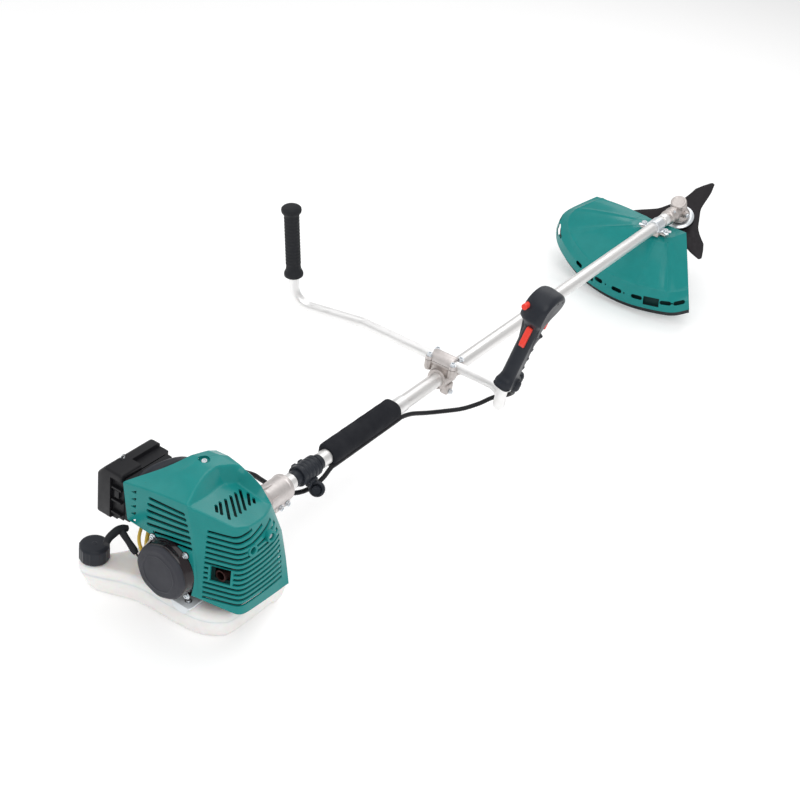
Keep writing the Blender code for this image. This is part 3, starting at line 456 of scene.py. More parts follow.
# near-black copy of the cast aluminium: painted shade on the crankcase and cylinder inside the cover
SHADED_CAST = metal("cast_painted_shade", (0.10, 0.095, 0.09), 0.55, 300, depth=0.3)
ZINC = metal("zinc_steel", (0.74, 0.77, 0.8), 0.34, 300, depth=0.05)
STEEL = metal("dull_steel", (0.42, 0.42, 0.44), 0.4, 300)
HOT = metal("scorched_steel", (0.05, 0.022, 0.02), 0.5, 200)
DARK = metal("blackened_steel", (0.028, 0.026, 0.028), 0.42, 300, depth=0.1)
# pale, non-metal copy of zinc, brighter than ZINC: painted light on the foot plate that sits in shade under
# the starter
LIT_ZINC = plastic("zinc_painted_light", (0.8, 0.84, 0.87), 0.32, grain=500, Specular_IOR_Level=0.6)
BRASS = metal("brass", (0.62, 0.42, 0.16), 0.35, 300)


def screw(name, at, r, height, washer=0.0):
    """Socket-head screw standing on at's XY plane, its Z pointing out."""
    body = lathe(name, softened([(0, -3), (r * 0.55, -3), (r * 0.55, 0), (r, 0), (r, height),
                                 (r * 0.55, height), (r * 0.5, height * 0.35), (0, height * 0.35)], 0.4),
                 ZINC, at, 28)
    if washer:
        ring = lathe(f"{name}_washer", softened([(r * 0.6, 0.05), (washer, 0.05), (washer, 0.9),
                                                 (r * 0.6, 0.9)], 0.2), ZINC, at, 32)
        return [body, ring]
    return [body]


def join(objs, name):
    """One object from several."""
    bm = bmesh.new()
    mats = []
    for obj in objs:
        remap = []
        for m in obj.data.materials:
            if m not in mats:
                mats.append(m)
            remap.append(mats.index(m))
        start = len(bm.faces)
        bm.from_mesh(obj.data)
        bm.faces.ensure_lookup_table()
        for f in bm.faces[start:]:
            f.material_index = remap[f.material_index] if remap else 0
    mesh = bpy.data.meshes.new(name)
    bm.to_mesh(mesh)
    bm.free()
    for m in mats:
        mesh.materials.append(m)
    for obj in objs:
        bpy.data.objects.remove(obj, do_unlink=True)
    return add(name, mesh)


def bolt(name, at, r, height, washer, node=None):
    """Screw that is a piece of its own and may stand for a CAD screw."""
    piece = join(screw(name, at, r, height, washer), f"{name}_set")
    return put(shade(piece), [node] if node else None)


# ------------------------------------------------------------------ shaft and tubes
def build_shaft():
    tube = lathe("shaft_tube_fine", softened([(11.5, -6), (13, -6), (13, 1425), (11.5, 1425)], 0.5),
                 TUBE, SHAFT, 96)
    put(tube, ["shaft_tube"])
    collar = lathe("collar_band", softened([(13.02, 320), (14.4, 320), (14.4, 346), (13.02, 346)], 0.4),
                   BAR, SHAFT, 72)
    put(collar, ["shaft_collar"])


def bezier(a, b, c, d, steps):
    out = []
    for k in range(steps + 1):
        t = k / steps
        out.append(a * (1 - t) ** 3 + b * 3 * t * (1 - t) ** 2 + c * 3 * t * t * (1 - t) + d * t**3)
    return out


def build_handlebar():
    corner = LEFT_FOOT + (LEFT_FOOT - LEFT_TIP).normalized() * 55
    left = filleted([LEFT_TIP - (LEFT_TIP - LEFT_FOOT) * 0.1, corner, (-178, CLAMP_Y, BAR_Z),
                     (95, CLAMP_Y, BAR_Z)], 36, 16)
    right = bezier(Vector((95, CLAMP_Y, BAR_Z)), Vector((140, CLAMP_Y, BAR_Z)),
                   BAR_END - GRIP_AXIS * 76 + Vector((6, 0, 0)), BAR_END, 40)
    bar = sweep("handlebar_fine", left + right[1:] + [GRIP_FOOT + GRIP_AXIS * 56], BAR_R, BAR,
                inner=8.0, sides=48)
    put(bar, ["handlebar_tube"])

    at = frame_at(LEFT_FOOT, LEFT_TIP - LEFT_FOOT, (1, 0, 0))
    length = (LEFT_TIP - LEFT_FOOT).length
    profile = [(9.8, 0.5), (14.5, 0), (17.5, 2.5), (17.8, 7), (16.5, 11), (14.2, 15), (13.4, 22)]
    for k in range(15):
        h = 26 + k * 6.4
        profile += [(13.5, h), (14.0, h + 1.6), (14.0, h + 3.4), (13.5, h + 5)]
    profile += [(14.4, length - 15), (17.6, length - 11), (18.4, length - 7), (17.8, length - 3),
                (14.5, length), (8, length + 0.6), (0, length + 0.6), (0, length - 5), (9.8, length - 5)]
    flats = lambda a, h: 1.0 + 0.012 * math.cos(6 * a) if 20 < h < length - 16 else 1.0
    grip = lathe("left_grip_fine", softened(profile, 0.8, 2), RUBBER, at, 72, ripple=flats)
    put(grip, ["left_grip"])


# ------------------------------------------------------------------ engine cover
COVER_ROWS = [
    [(-91, -236, 101), (-35, -236, 115), (25, -236, 124), (29, -235, 122), (62, -224, 116),
     (93, -213, 108), (103, -212, 75), (108, -211, 15), (111, -210, -42)],
    [(-72, -214, 112), (-30, -208, 124), (13, -202, 131), (26, -198, 114), (60, -192, 108),
     (97, -188, 99), (107, -190, 70), (111, -190, 15), (113, -190, -43)],
    [(-52, -190, 122), (-26, -180, 129), (2, -172, 130), (16, -169, 107), (56, -164, 99),
     (93, -160, 90), (107, -160, 62), (112, -160, 12), (114, -160, -44)],
    [(-43, -150, 127), (-24, -146, 130), (-2, -142, 125), (10, -140, 99), (48, -137, 91),
     (85, -133, 84), (103, -132, 56), (110, -132, 8), (115, -132, -45)],
    [(-38, -120, 122), (-18, -118, 124), (4, -117, 117), (17, -116, 90), (45, -115, 85),
     (76, -114, 79), (98, -116, 48), (108, -116, 3), (115, -116, -45)],
    [(-36, -104, 115), (-14, -103, 116), (8, -103, 112), (28, -104, 106), (50, -104, 96),
     (71, -105, 76), (94, -106, 42), (106, -106, -1), (116, -106, -45)],
]
PILLAR = [(44, -235, 62), (50, -233, 0), (51, -232, -30)]
PANEL_EDGE = [(43, -236, -28), (47, -236, -6), (47, -236, 8), (42, -236, 24), (31, -236, 38),
              (12, -236, 47), (-12, -236, 47), (-28, -236, 38), (-45, -236, 38), (-81, -236, 40),
              (-86, -236, 72)]


def weigh_cover(bm):
    """Marks how round each fold of the cover is to be: the rear right-hand corner most."""
    weight = bm.edges.layers.float.new("bevel_weight_edge")
    crease = bm.edges.layers.float.new("crease_edge")
    for e in bm.edges:
        i, j = sorted(v.index for v in e.verts)
        if e.is_boundary:
            e[crease] = 1.0
            continue
        angle = e.calc_face_angle(0)
        if i in (5, 6, 7) and j == i + 1:
            e[weight] = 1.0
        elif angle > math.radians(26):
            e[weight] = 0.3
        elif angle > math.radians(14):
            e[weight] = 0.15


def cover_skin():
    rows, n = COVER_ROWS, len(COVER_ROWS[0])
    points = [Vector(p) for row in rows for p in row]
    p0 = len(points)
    e0 = p0 + len(PILLAR)
    points += [Vector(p) for p in PILLAR + PANEL_EDGE]
    faces = patches(len(rows), n)
    faces.append([2, p0, p0 + 1, p0 + 2] + [e0 + k for k in range(len(PANEL_EDGE))] + [0, 1])
    faces += [[3, 4, 5, 6], [2, 3, 6, p0], [p0, 6, 7, p0 + 1], [p0 + 1, 7, 8, p0 + 2]]
    peak = ROW @ Vector((-20, -140, 130))
    top = lambda shell: min(shell, key=lambda f: (f.calc_center_median() - peak).length)
    obj = open_shell("engine_cover_fine", points, faces, top, TEAL, weigh_cover)
    bake(obj, ("BEVEL", {"width": 13 * MM, "segments": 3, "limit_method": "WEIGHT",
                         "use_clamp_overlap": True, "miter_outer": "MITER_SHARP"}))
    bm = bmesh.new()
    bm.from_mesh(obj.data)
    bmesh.ops.triangulate(bm, faces=[f for f in bm.faces if len(f.verts) > 4])
    bm.to_mesh(obj.data)
    bm.free()
    bake(obj, ("SUBSURF", {"levels": 2, "render_levels": 2}),
         ("SOLIDIFY", {"thickness": SKIN * MM, "offset": -1}))
    return obj


def cover_shade_sheet():
    """Painted shade: a dark teal sheet a finger's breadth inside the louvred skin, seen through the louvres,
    with a port for the exhaust.
    """
    centre = Vector((10, -150, 10))

    def inset(row):
        return [centre + Vector(((x - 10) * 0.89, (y + 150) * 0.87, (z - 10) * 0.88)) for x, y, z in row]
    skin = [inset(row[3:]) for row in COVER_ROWS]
    back = [inset(row) for row in (((44, -235, 100), (44, -235, 62), (50, -233, 0), (51, -232, -40)),
                                   ((93, -213, 100), (103, -212, 75), (108, -211, 15), (111, -210, -42)))]
    left = [[(x, -226, z) for x in (-58, -20, 36)] for z in (112, 70, 42)]
    liner = join([grid("liner", rows, SHADED_TEAL) for rows in (skin, back, left)], "cover_shade_sheet")
    bake(liner, ("SOLIDIFY", {"thickness": 1.0 * MM, "offset": 0}))
    cut(liner, box("liner_port", (66, -240, 7), (93, -190, 34), None))
    return shade(liner)


def slot_tool(a, b, width, low, high, at=WORLD, name="slot"):
    """Stadium from a to b in at's XY, extruded from low to high."""
    a, b = Vector(a), Vector(b)
    d = (b - a).normalized()
    side = Vector((-d.y, d.x))
    r = width / 2
    outline = []
    for centre, start in ((b, -90), (a, 90)):
        for k in range(9):
            t = math.radians(start + 22.5 * k)
            q = centre + d * (r * math.cos(t)) + side * (r * math.sin(t))
            outline.append((q.x, q.y))
    return prism(name, outline, low, high, None, at)


def build_cover():
    cover = cover_skin()
    rear = frame_at((0, -236, 0), (0, -1, 0), (1, 0, 0))  # X right, Y up, Z rearward
    # slanted louvres of the rear-left panel: left end, left height, right end, right height
    louvres = [(-40, 99, 21, 105), (-42, 87.5, 24, 97), (-43, 76, 27, 88.5), (-43, 64.5, 30, 79.5),
               (-42, 53, 33, 70.5), (-30, 45, 35, 61.5), (-8, 43.5, 37, 52.5)]
    tools = [slot_tool((x0, z0), (x1, z1), 5.4, -12, 12, rear) for x0, z0, x1, z1 in louvres]
    for z in (45 + 12.6 * k for k in range(5)):
        tools.append(prism("triangle", [(-75, z - 3), (-66, z - 3.2), (-65, z + 3.6)], -12, 12, None, rear))
    # slots of the vent panel
    vents = [((44, -196), (55, -207)), ((41, -184), (62, -205)), ((39, -170), (74, -203)),
             ((36, -155), (73, -188)), ((33, -141), (70, -174)), ((30, -127), (67, -160)),
             ((40, -121), (61, -143)), ((52, -123), (60, -131))]
    tools += [slot_tool(a, b, 4.6, 70, 120) for a, b in vents]
    # louvres wrapped round the rear right-hand corner
    for k in range(14):
        z = -27 + 8.9 * k
        front = -120 if z < 68 else -120 - (z - 68) * 3.0
        spans = [(57, 130)]
        if 4 < z + 2 < 37:
            spans = [(57, 63.5), (97, 130)]
        for x0, x1 in spans:
            tools.append(box("louvre", (x0, -250 if x0 < 90 else -222, z),
                             (x1, front if x1 > 90 else -205, z + 4.5), None))
    tools.append(box("exhaust_window", (66, -250, 8), (94, -206, 35), None))
    tools.append(rod("screw_recess", (-23, -144, 122), (-23, -150, 142), 8.5))
    bosses = [frame_at(foot, (1, -0.06, 0.16), (0, 1, 0)) for foot in ((106, -188, 62), (107, -149, 64))]
    for at in bosses:
        tools.append(bore(5.4, -12, 12, at, 32))
    cut(cover, *tools)
    shade(cover, 33)
    parts = [cover]
    for n, at in enumerate(bosses):
        parts.append(lathe(f"cover_boss_{n}", softened([(5.2, -6), (9.0, -6), (9.0, 2.6), (5.8, 2.6),
                                                        (5.2, 1.8)], 0.8), TEAL, at, 40))
    recess = frame_at((-23, -144.5, 122.5), (0, -0.3, 1), (1, 0, 0))
    parts.append(lathe("recess_cup", [(0, -1.2), (9.6, -1.2), (8.6, 4), (8.2, 4), (8.2, 0), (0, 0)],
                       TEAL, recess, 40))
    put(shade(join(parts, "engine_cover_shell"), 33), ["engine_cover"])
    bolts = screw("cover_top_screw", recess, 4.2, 3.0) + screw(
        "cover_side_screw", bosses[1] @ Matrix.Translation((0, 0, -4)), 4.0, 3.0)
    # dark sheet of painted shade inside the cover
    put(cover_shade_sheet(), None)
    put(shade(join(bolts, "cover_screws")), None)


# ------------------------------------------------------------------ starter, filter and tank
ROPE_OUT = Vector((-0.765, 0, 0.644)).normalized()
ROPE_FOOT = Vector((-44.7, -247, -5.5))
LUG_ANGLES, LUG_R, LUG_Y = (52, 130, 232, 319), 48.0, -237


def build_starter():
    octo = lambda a, h: 1.0 + (0.012 * math.cos(8 * a) if h < -240 else 0.0)
    body = lathe("starter_body", softened([
        (41, -204.6), (49.5, -204.6), (50, -209), (48.4, -214), (46.8, -236), (44.6, -243),
        (43.8, -248), (42.6, -250.5), (40, -250.5)], 1.6), GLOSS, SHAFT, 96, ripple=octo)
    face = lathe("starter_face", softened([
        (0, -258), (27, -258), (28, -258.8), (29.4, -258.8), (30.4, -258), (37, -258),
        (40, -256.8), (42.6, -253.5), (43.0, -250.2), (41.8, -249.6), (39, -249.6), (37, -254),
        (0, -254)], 0.9),
        MATT, SHAFT, 96, ripple=octo)
    boss = lathe("starter_pivot", softened([(0, -254), (6, -254), (6, -224), (0, -224)], 0.5), GLOSS, SHAFT)
    lugs = []
    for deg in LUG_ANGLES:
        a = math.radians(deg)
        outward = Vector((math.cos(a), 0, math.sin(a)))
        centre = outward * LUG_R + Vector((0, LUG_Y, 0))
        lugs.append(rod("starter_lug", centre, centre + Vector((0, 24, 0)), 5.8, GLOSS))
        lugs.append(box("starter_rib", (-4.6, 0, 0), (4.6, 22, 8), GLOSS,
                        frame_at(centre + Vector((0, 23, 0)), (-outward.x, 0, -outward.z),
                                 (-outward.z, 0, outward.x))))
    cut(body, rod("rope_hole", ROPE_FOOT - ROPE_OUT * 12, ROPE_FOOT + ROPE_OUT * 20, 3.2))
    housing = join([body, face, boss] + lugs, "starter_housing_fine")
    put(shade(housing), ["starter_housing"])
    heads = []
    for deg in LUG_ANGLES:
        a = math.radians(deg)
        heads += screw(f"starter_screw_{deg}", frame_at((LUG_R * math.cos(a), LUG_Y, LUG_R * math.sin(a)),
                                                        (0, -1, 0), (1, 0, 0)), 3.7, 3.6, 5.2)
    put(shade(join(heads, "starter_screws")), None)
    # pull handle: a bowed bar on a stem, with the rope behind it
    foot, out = ROPE_FOOT, ROPE_OUT
    bow = catmull([foot + out * t + Vector((0, y, 0)) for y, t in
                   ((-33, 44), (-24, 48.5), (-13, 50.5), (-4, 51), (4, 49.5), (10.5, 46))], 8)
    fat = lambda i: 0.80 + 0.28 * math.sin(math.pi * min(1, max(0, (i + 3) / (len(bow) + 5))))
    bar = sweep("pull_bar", bow, 5.6, RUBBER, sides=28, ripple=fat)
    stem = lathe("pull_stem", softened([(0, 9), (4.0, 9), (5.4, 16), (4.6, 30), (5.4, 48), (0, 50)], 1.5),
                 RUBBER, frame_at(foot, out), 28)
    rope = sweep("pull_rope", [foot - out * 50, foot, foot + out * 12], 1.45, GRIP_BLACK, sides=12)
    put(shade(join([bar, stem, rope], "pull_handle_fine")), ["starter_handle"], "pull_handle")


def build_filter():
    cover = prism("filter_cover", [(-145, 18), (-145, 88), (-131, 104), (-98, 104), (-97.4, 100),
                                   (-97.4, 18)], 134, 232, BLACK,
                  frame_at((0, 0, 0), (0, -1, 0), (1, 0, 0)))
    rounded_edges(cover, 5, 4, 25)
    cut(cover, box("rear_step", (-119, -240, 10), (-90, -226, 92), None),
        rod("top_scoop", (-96, -170, 122), (-96, -120, 122), 24),
        box("top_scoop_floor", (-116, -192, 97), (-80, -120, 115), None),
        box("filter_room", (-141, -224, 22), (-90, -138, 94), None),
        box("low_notch", (-110, -240, 10), (-90, -215, 22), None))
    rounded_edges(cover, 0.9, 2, 40)
    parts = [cover]
    for k, z in enumerate((30, 52, 74)):
        parts.append(box(f"step_rib_{k}", (-117, -231, z), (-99, -225, z + 3), BLACK))
    parts.append(box("step_block", (-112, -230, 60), (-104, -224, 72), BLACK))
    clip = sweep("clip_eye", [Vector((-126, -200 + 4 * math.cos(a), 107 + 4 * math.sin(a)))
                              for a in (math.radians(20 * k) for k in range(19))], 0.8, ZINC, sides=10)
    parts.append(clip)
    put(shade(join(parts, "filter_cover_fine")), ["air_filter_cover"], "filter_lid")
    # intake elbow and throttle link beside the carburettor
    duct = sweep("intake_duct", catmull([(-84, -205, 88), (-78, -190, 97), (-70, -168, 101),
                                         (-64, -146, 98), (-60, -128, 88)], 8), 11, GRIP_BLACK, sides=32)
    put(duct, None)
    link = sweep("throttle_link", [(-84, -222, 84), (-80, -218, 90), (-66, -196, 97), (-62, -188, 96)],
                 1.3, ZINC, sides=12)
    put(link, None)
    wire = sweep("cable_wire", [(-59, -123, 88), (-58, -134, 87.5), (-57, -143, 87.5)], 0.6, ZINC, sides=8)
    put(wire, None)
    # fuel lines to the carburettor
    line = sweep("fuel_line", catmull([(-62, -160, 44), (-66, -196, 30), (-62, -214, 6), (-60, -216, -24),
                                       (-58, -206, -62)], 10), 3.0, YELLOW, sides=16)
    line2 = sweep("fuel_return", catmull([(-72, -158, 44), (-78, -196, 26), (-74, -218, 2),
                                          (-70, -214, -30), (-66, -204, -62)], 10), 2.6, YELLOW, sides=16)
    put(shade(join([line, line2], "fuel_lines")), None)
    block = box("insulator_block", (-70, -206, -8), (-50, -200, 36), TANK)
    put(rounded_edges(block, 1.5, 3), None)


TANK_BODY = [(-62, -228), (-4, -225), (44, -219), (70, -204), (81, -180), (82, -96), (70, -78),
             (-84, -78), (-98, -92), (-101, -150)]
TANK_LOBE = [(-106, -188), (-112, -204), (-112, -222), (-100, -232)]
TANK_LEVELS = [(-118, -10, 0.44), (-116.5, -4, 0.52), (-110, -0.5, 0.62), (-104, 2, 0.74),
               (-88, 4, 0.9), (-73, 4, 1.0), (-66, 1.5, 1.0), (-62.5, -4, 0.96), (-61.5, -12, 0.9)]
CAP_AT = (-138.0, -242.0)


def tank_ring(z, grow, reach):
    ring = []
    centre = Vector((-8, -152))
    for x, y in TANK_BODY:
        d = Vector((x, y)) - centre
        ring.append((x + grow * (1 if d.x > 0 else -1), y + grow * (1 if d.y > 0 else -1), z))
    lobe = Vector(CAP_AT)
    for (x, y), deg in zip(TANK_LOBE, (75, 130, 200, 268)):
        a = math.radians(deg)
        r = 20.0 + 0.5 * min(0, grow)
        fx, fy = lobe.x + r * math.cos(a), lobe.y + r * math.sin(a)
        ring.append((x + (fx - x) * reach, y + (fy - y) * reach, z))
    return ring


def build_tank():
    rings = []
    for k, level in enumerate(TANK_LEVELS):
        ring = [Vector(p) for p in tank_ring(*level)]
        if k < 2:  # the flat foot and its edge follow the floor
            ring = [Vector((p.x, p.y, -FLOOR_DROP - p.y * math.tan(PITCH) + 1.2 * k)) for p in ring]
        rings.append(catmull(ring, 6, closed=True))
    tank = grid("tank_body", rings, TANK, closed=True, caps=True, smooth=50)
    x, y = CAP_AT
    at = frame_at((x, y, 0), (0, 0, 1), (1, 0, 0))
    neck = lathe("tank_neck", softened([(0, -66), (17.5, -66), (16.5, -58), (16, -46), (13, -46), (13, -64),
                                        (0, -64)], 1.2), TANK, at)
    seam = [[p + Vector((0, 0, dz)) for p in catmull(
        [Vector(q) for q in tank_ring(-80, grow, 0.955)], 6, closed=True)]
        for dz, grow in ((-1.6, 3.2), (-0.8, 4.3), (0.8, 4.3), (1.6, 3.2))]
    rib = grid("tank_seam", seam, TANK, closed=True)
    put(shade(join([tank, neck, rib], "fuel_tank_fine"), 50), ["fuel_tank"])

    ribs = lambda a, h: 1.0 + (0.035 * max(0.0, math.cos(12 * a)) ** 3 if -58 < h < -36.5 else 0.0)
    profile = [(0, -32.6), (3, -32.4), (4, -33), (17.5, -33), (20.5, -34), (22.0, -36.2), (22.2, -38),
               (22.2, -56), (21.6, -59.6), (17, -59.6), (17, -44), (0, -44)]
    cap = lathe("fuel_cap_fine", softened(profile, 0.8, 3), GRIP_BLACK, at, 144, ripple=ribs, smooth=30)
    put(cap, ["fuel_cap"], "filler_cap")
    # moulded fold and bracket of the zinc foot under the starter, in a pale zinc brightened as painted light
    foot = prism("foot_plate", [(4, -235), (38, -235), (40, -228), (40, -186), (-34, -186), (-34, -208),
                                (2, -208)], -60.6, -57.4, LIT_ZINC)
    flange = prism("foot_flange", [(6, 0), (38, 0), (34, -9), (24, -12), (10, -8)], 0, 2.2, LIT_ZINC,
                   frame_at((0, -233, -60), (0, -1, 0), (1, 0, 0)))
    plate = join([rounded_edges(foot, 0.8, 2), rounded_edges(flange, 0.6, 2)], "engine_foot_fine")
    put(shade(plate), ["engine_foot"])
    bolt("foot_screw", frame_at((27, -222, -57.4), (0, 0, 1)), 3.6, 3.4, 5.4)


# ------------------------------------------------------------------ throttle grip
THROTTLE_OUTLINE = [(22, 0), (25, 6), (24, 16), (16, 24), (14.5, 34), (16.5, 42), (14.5, 52),
                    (16.5, 62), (14.5, 72), (16.5, 82), (14.5, 91), (20, 96.5), (31, 100), (33.5, 104),
                    (29, 107), (18, 109), (14.2, 114), (13.5, 134), (19, 144), (32, 149), (45, 158),
                    (50, 169), (46, 181), (32, 189), (12, 191.5), (-6, 187.5), (-18, 177), (-22, 163),
                    (-21.5, 147), (-16, 137), (-13.5, 128), (-13.5, 80), (-13.5, 34), (-15, 24),
                    (-20, 17), (-21, 6), (-18, 0)]


def grip_width(up, out):
    """Half width of the throttle housing at a height, to the right (1) or the left (-1)."""
    base = 16.2 - 3.1 * min(1.0, max(0.0, (up - 15) / 12))
    head = (3.3 if out > 0 else 13.4) * min(1.0, max(0.0, (up - 128) / 14))
    return base + head


def build_throttle():
    side = GRIP @ Matrix.Rotation(math.pi / 2, 4, "X")
    line = catmull([(b, u, 0) for b, u in THROTTLE_OUTLINE], 4, closed=True)
    n = len(line)
    normals = []
    for k in range(n):
        t = line[(k + 2) % n] - line[k - 2]
        normals.append(Vector((-t.y, t.x, 0)).normalized())
    steps = [(0.0, 0.0), (0.30, 0.0), (0.48, 0.35), (0.64, 1.1), (0.78, 2.3), (0.89, 3.9), (0.95, 5.3),
             (0.95, 5.9), (0.985, 6.3)]
    halves = []
    for name, out in (("right", 1), ("left", -1)):
        rows = []
        for t, inset in steps:
            rows.append([Vector((p.x + m.x * inset * 0.85, p.y + m.y * inset * 0.85,
                                 out * grip_width(p.y, out) * t)) for p, m in zip(line, normals)])
        half = grid(f"throttle_{name}_fine", rows, GRIP_BLACK, closed=True, caps=True, at=side, smooth=50)
        half.data.materials.append(TEXTURED)
        panel = max(half.data.polygons, key=lambda f: (f.center.dot(
            (ROW @ side).to_3x3() @ Vector((0, 0, out))), len(f.vertices)))
        panel.material_index = 1
        holes = [(34, 177), (14, 182), (-13, 144), (2, 112), (24, 12)]
        tools = [bore(2.2, 8, 30, side @ frame_at((b, u, out * grip_width(u, out) - 14 * out), (0, 0, out),
                                                  (1, 0, 0)), 20) for b, u in holes]
        tools.append(box("trigger_pocket", (2, 113.3, -6.4), (40, 153, 6.4), None, side))
        tools.append(box("finger_slot", (17, 78, -6.4), (60, 114, 6.4), None, side))
        tools.append(box("lock_pocket", (-30, 92, -5.4), (-4, 134, 5.4), None, side))
        tools.append(rod("switch_bore", GRIP @ Vector((-4, 20, 169)), GRIP @ Vector((-44, 20, 169)), 5.6))
        tools.append(rod("bar_room", GRIP @ Vector((0, 0, -0.5)), GRIP @ Vector((0, 0, 64)), BAR_ROOM,
                         None, 48))
        cut(half, *tools)
        halves.append(shade(half, 45))
    lobes = []
    for b, y, u0, u1 in ((11, -14, -7, 15), (27, -8, -1, 19)):
        lobes.append(lathe(f"gland_{b}", softened([(0, u0), (6.4, u0), (8.2, u0 + 4), (8.2, u1 - 6),
                                                   (5.4, u1), (0, u1)], 1.6), GRIP_BLACK,
                           GRIP @ frame_at((b, y, 0), (0, 0, 1)), 40))
    for u in (42, 62, 82):
        lobes.append(lathe(f"groove_{u}", softened([(0, 0), (3.4, 0), (3.0, 1.2), (0, 1.2)], 0.5), GRIP_BLACK,
                           side @ frame_at((10.5, u, 12.3), (0, 0, 1)), 24))
    put(shade(join(halves + lobes, "throttle_housing_fine"), 45),
        ["throttle_housing_left", "throttle_housing_right"])

    lever = [(6, 151), (12, 152), (14, 146), (22, 141), (34, 138), (44, 132), (49, 122), (50.8, 112),
             (49.5, 105), (44.5, 105), (43.5, 112), (39, 118), (33, 121), (24, 120), (12, 119), (6, 138)]
    trigger = prism("throttle_trigger_fine", lever, -5.6, 5.6, RED, side)
    put(rounded_edges(trigger, 1.8, 3, 25), ["throttle_trigger"], "trigger")
    lock = prism("lockout_fine", [(-10, 133), (-16.5, 133), (-18.6, 128), (-19.5, 112), (-19.4, 100),
                                  (-17, 93), (-12, 93), (-10, 100)], -5.0, 5.0, RED, side)
    put(rounded_edges(lock, 1.2, 3, 15), ["lockout_lever"], "lockout")
    knob = lathe("stop_button_fine", softened([(0, 8), (5.2, 8), (5.2, 18), (4.4, 19.5), (5.2, 21),
                                               (5.2, 26), (0, 26)], 1.0), RED,
                 GRIP @ frame_at((-4, 20, 169), (-1, 0, 0)), 40)
    put(knob, ["stop_button"], "stop_switch")


# ------------------------------------------------------------------ handlebar clamp
def build_bar_clamp():
    y = CLAMP_Y
    base = box("clamp_block", (-26, y - 13, 8), (26, y + 13, BAR_Z - 0.4), CAST)
    ring = lathe("clamp_ring", softened([(13.1, y - 19.3), (19, y - 19.3), (19, y + 19.3), (13.1, y + 19.3)],
                                        1.2), CAST, SHAFT, 72)
    lug = box("clamp_lug", (5, y - 10, -29), (20, y + 10, -9), CAST)
    rounded_edges(lug, 2.5, 3)
    saddle = rod("bar_saddle", (-22, y, BAR_Z), (22, y, BAR_Z), 15.5, CAST, 64)
    parts = [base, saddle, lug]
    cap = rod("cap_barrel", (-22, y, BAR_Z), (22, y, BAR_Z), 15.2, PALE_CAST, 72)
    rounded_edges(cap, 0.8, 2)
    cap_parts = [cap]
    for sx in (-1, 1):
        for sy in (-1, 1):
            at = frame_at((sx * 24.5, y + sy * 13.0, 0), (0, 0, 1))
            parts.append(lathe("post", softened([(0, 10), (5.6, 10), (7.0, 16), (7.0, BAR_Z - 0.4),
                                                 (0, BAR_Z - 0.4)], 0.8), CAST, at, 40))
            cap_parts.append(lathe("cap_post", softened([(0, BAR_Z + 0.4), (7.0, BAR_Z + 0.4),
                                                         (6.6, BAR_Z + 6.4), (0, BAR_Z + 6.6)], 0.8),
                                   PALE_CAST, at, 40))
            web = box("cap_web", (0, -3.2, BAR_Z + 0.4), (7, 3.2, BAR_Z + 5.6), PALE_CAST,
                      frame_at((sx * 18.5, y + sy * 11, 0), (0, 0, 1), (sx, 0.1 * sy, 0)))
            cap_parts.append(web)
    room = rod("room", (-60, y, BAR_Z), (60, y, BAR_Z), BAR_ROOM, None, 56)
    tube_room = rod("tube_room", (0, y - 60, 0), (0, y + 60, 0), 13.2, None, 72)
    upper_half = box("upper_half", (-60, y - 60, BAR_Z - 0.3), (60, y + 60, BAR_Z + 60), None)
    lower_half = box("lower_half", (-60, y - 60, BAR_Z - 60), (60, y + 60, BAR_Z + 0.3), None)
    slit = box("slit", (6.5, y - 30, -40), (8.5, y + 30, -8), None)
    body = parts.pop(0)
    fuse(body, ring, *parts)
    body.data.materials.clear()
    body.data.materials.append(CAST)
    cut(body, tube_room, room, upper_half, slit)
    put(shade(body, 35), ["handlebar_clamp_base"])
    top = cap_parts.pop(0)
    fuse(top, *cap_parts)
    cut(top, rod("room", (-60, y, BAR_Z), (60, y, BAR_Z), BAR_ROOM, None, 56), lower_half)
    put(shade(top, 35), ["handlebar_clamp_cap"])
    for n, (sx, sy) in enumerate(((-1, -1), (1, -1), (1, 1), (-1, 1)), 1):
        at = frame_at((sx * 24.5, y + sy * 13.0, BAR_Z + 7.0), (0, 0, 1))
        bolt(f"clamp_bolt_{n}", at, 4.4, 5.0, 5.6, f"clamp_screw_{n}")
    bolt("pinch_bolt", frame_at((20.3, y, -24), (1, 0, 0)), 4.2, 4.4, 5.2, "shaft_pinch_screw")


# ------------------------------------------------------------------ harness clamp, sleeve, conduit
CONDUIT = [(141, 468, 32), (128, 477, 17), (112, 482, 5), (97, 481, -7), (82, 469, -20), (62, 449, -31),
           (40, 424, -35), (24, 392, -31), (15, 356, -20), (13.3, 326, -12.9), (13.3, 312, -12.9),
           (13.3, 226, -12.9), (13.3, 142, -12.9), (13, 128, -13.6), (11, 110, -27), (6, 92, -36),
           (0, 70, -38), (-12, 48, -34), (-28, 30, -20), (-37, 12, -2), (-38, -6, 16),
           (-40, -30, 34), (-47, -58, 54), (-55, -92, 74), (-59, -122, 88)]


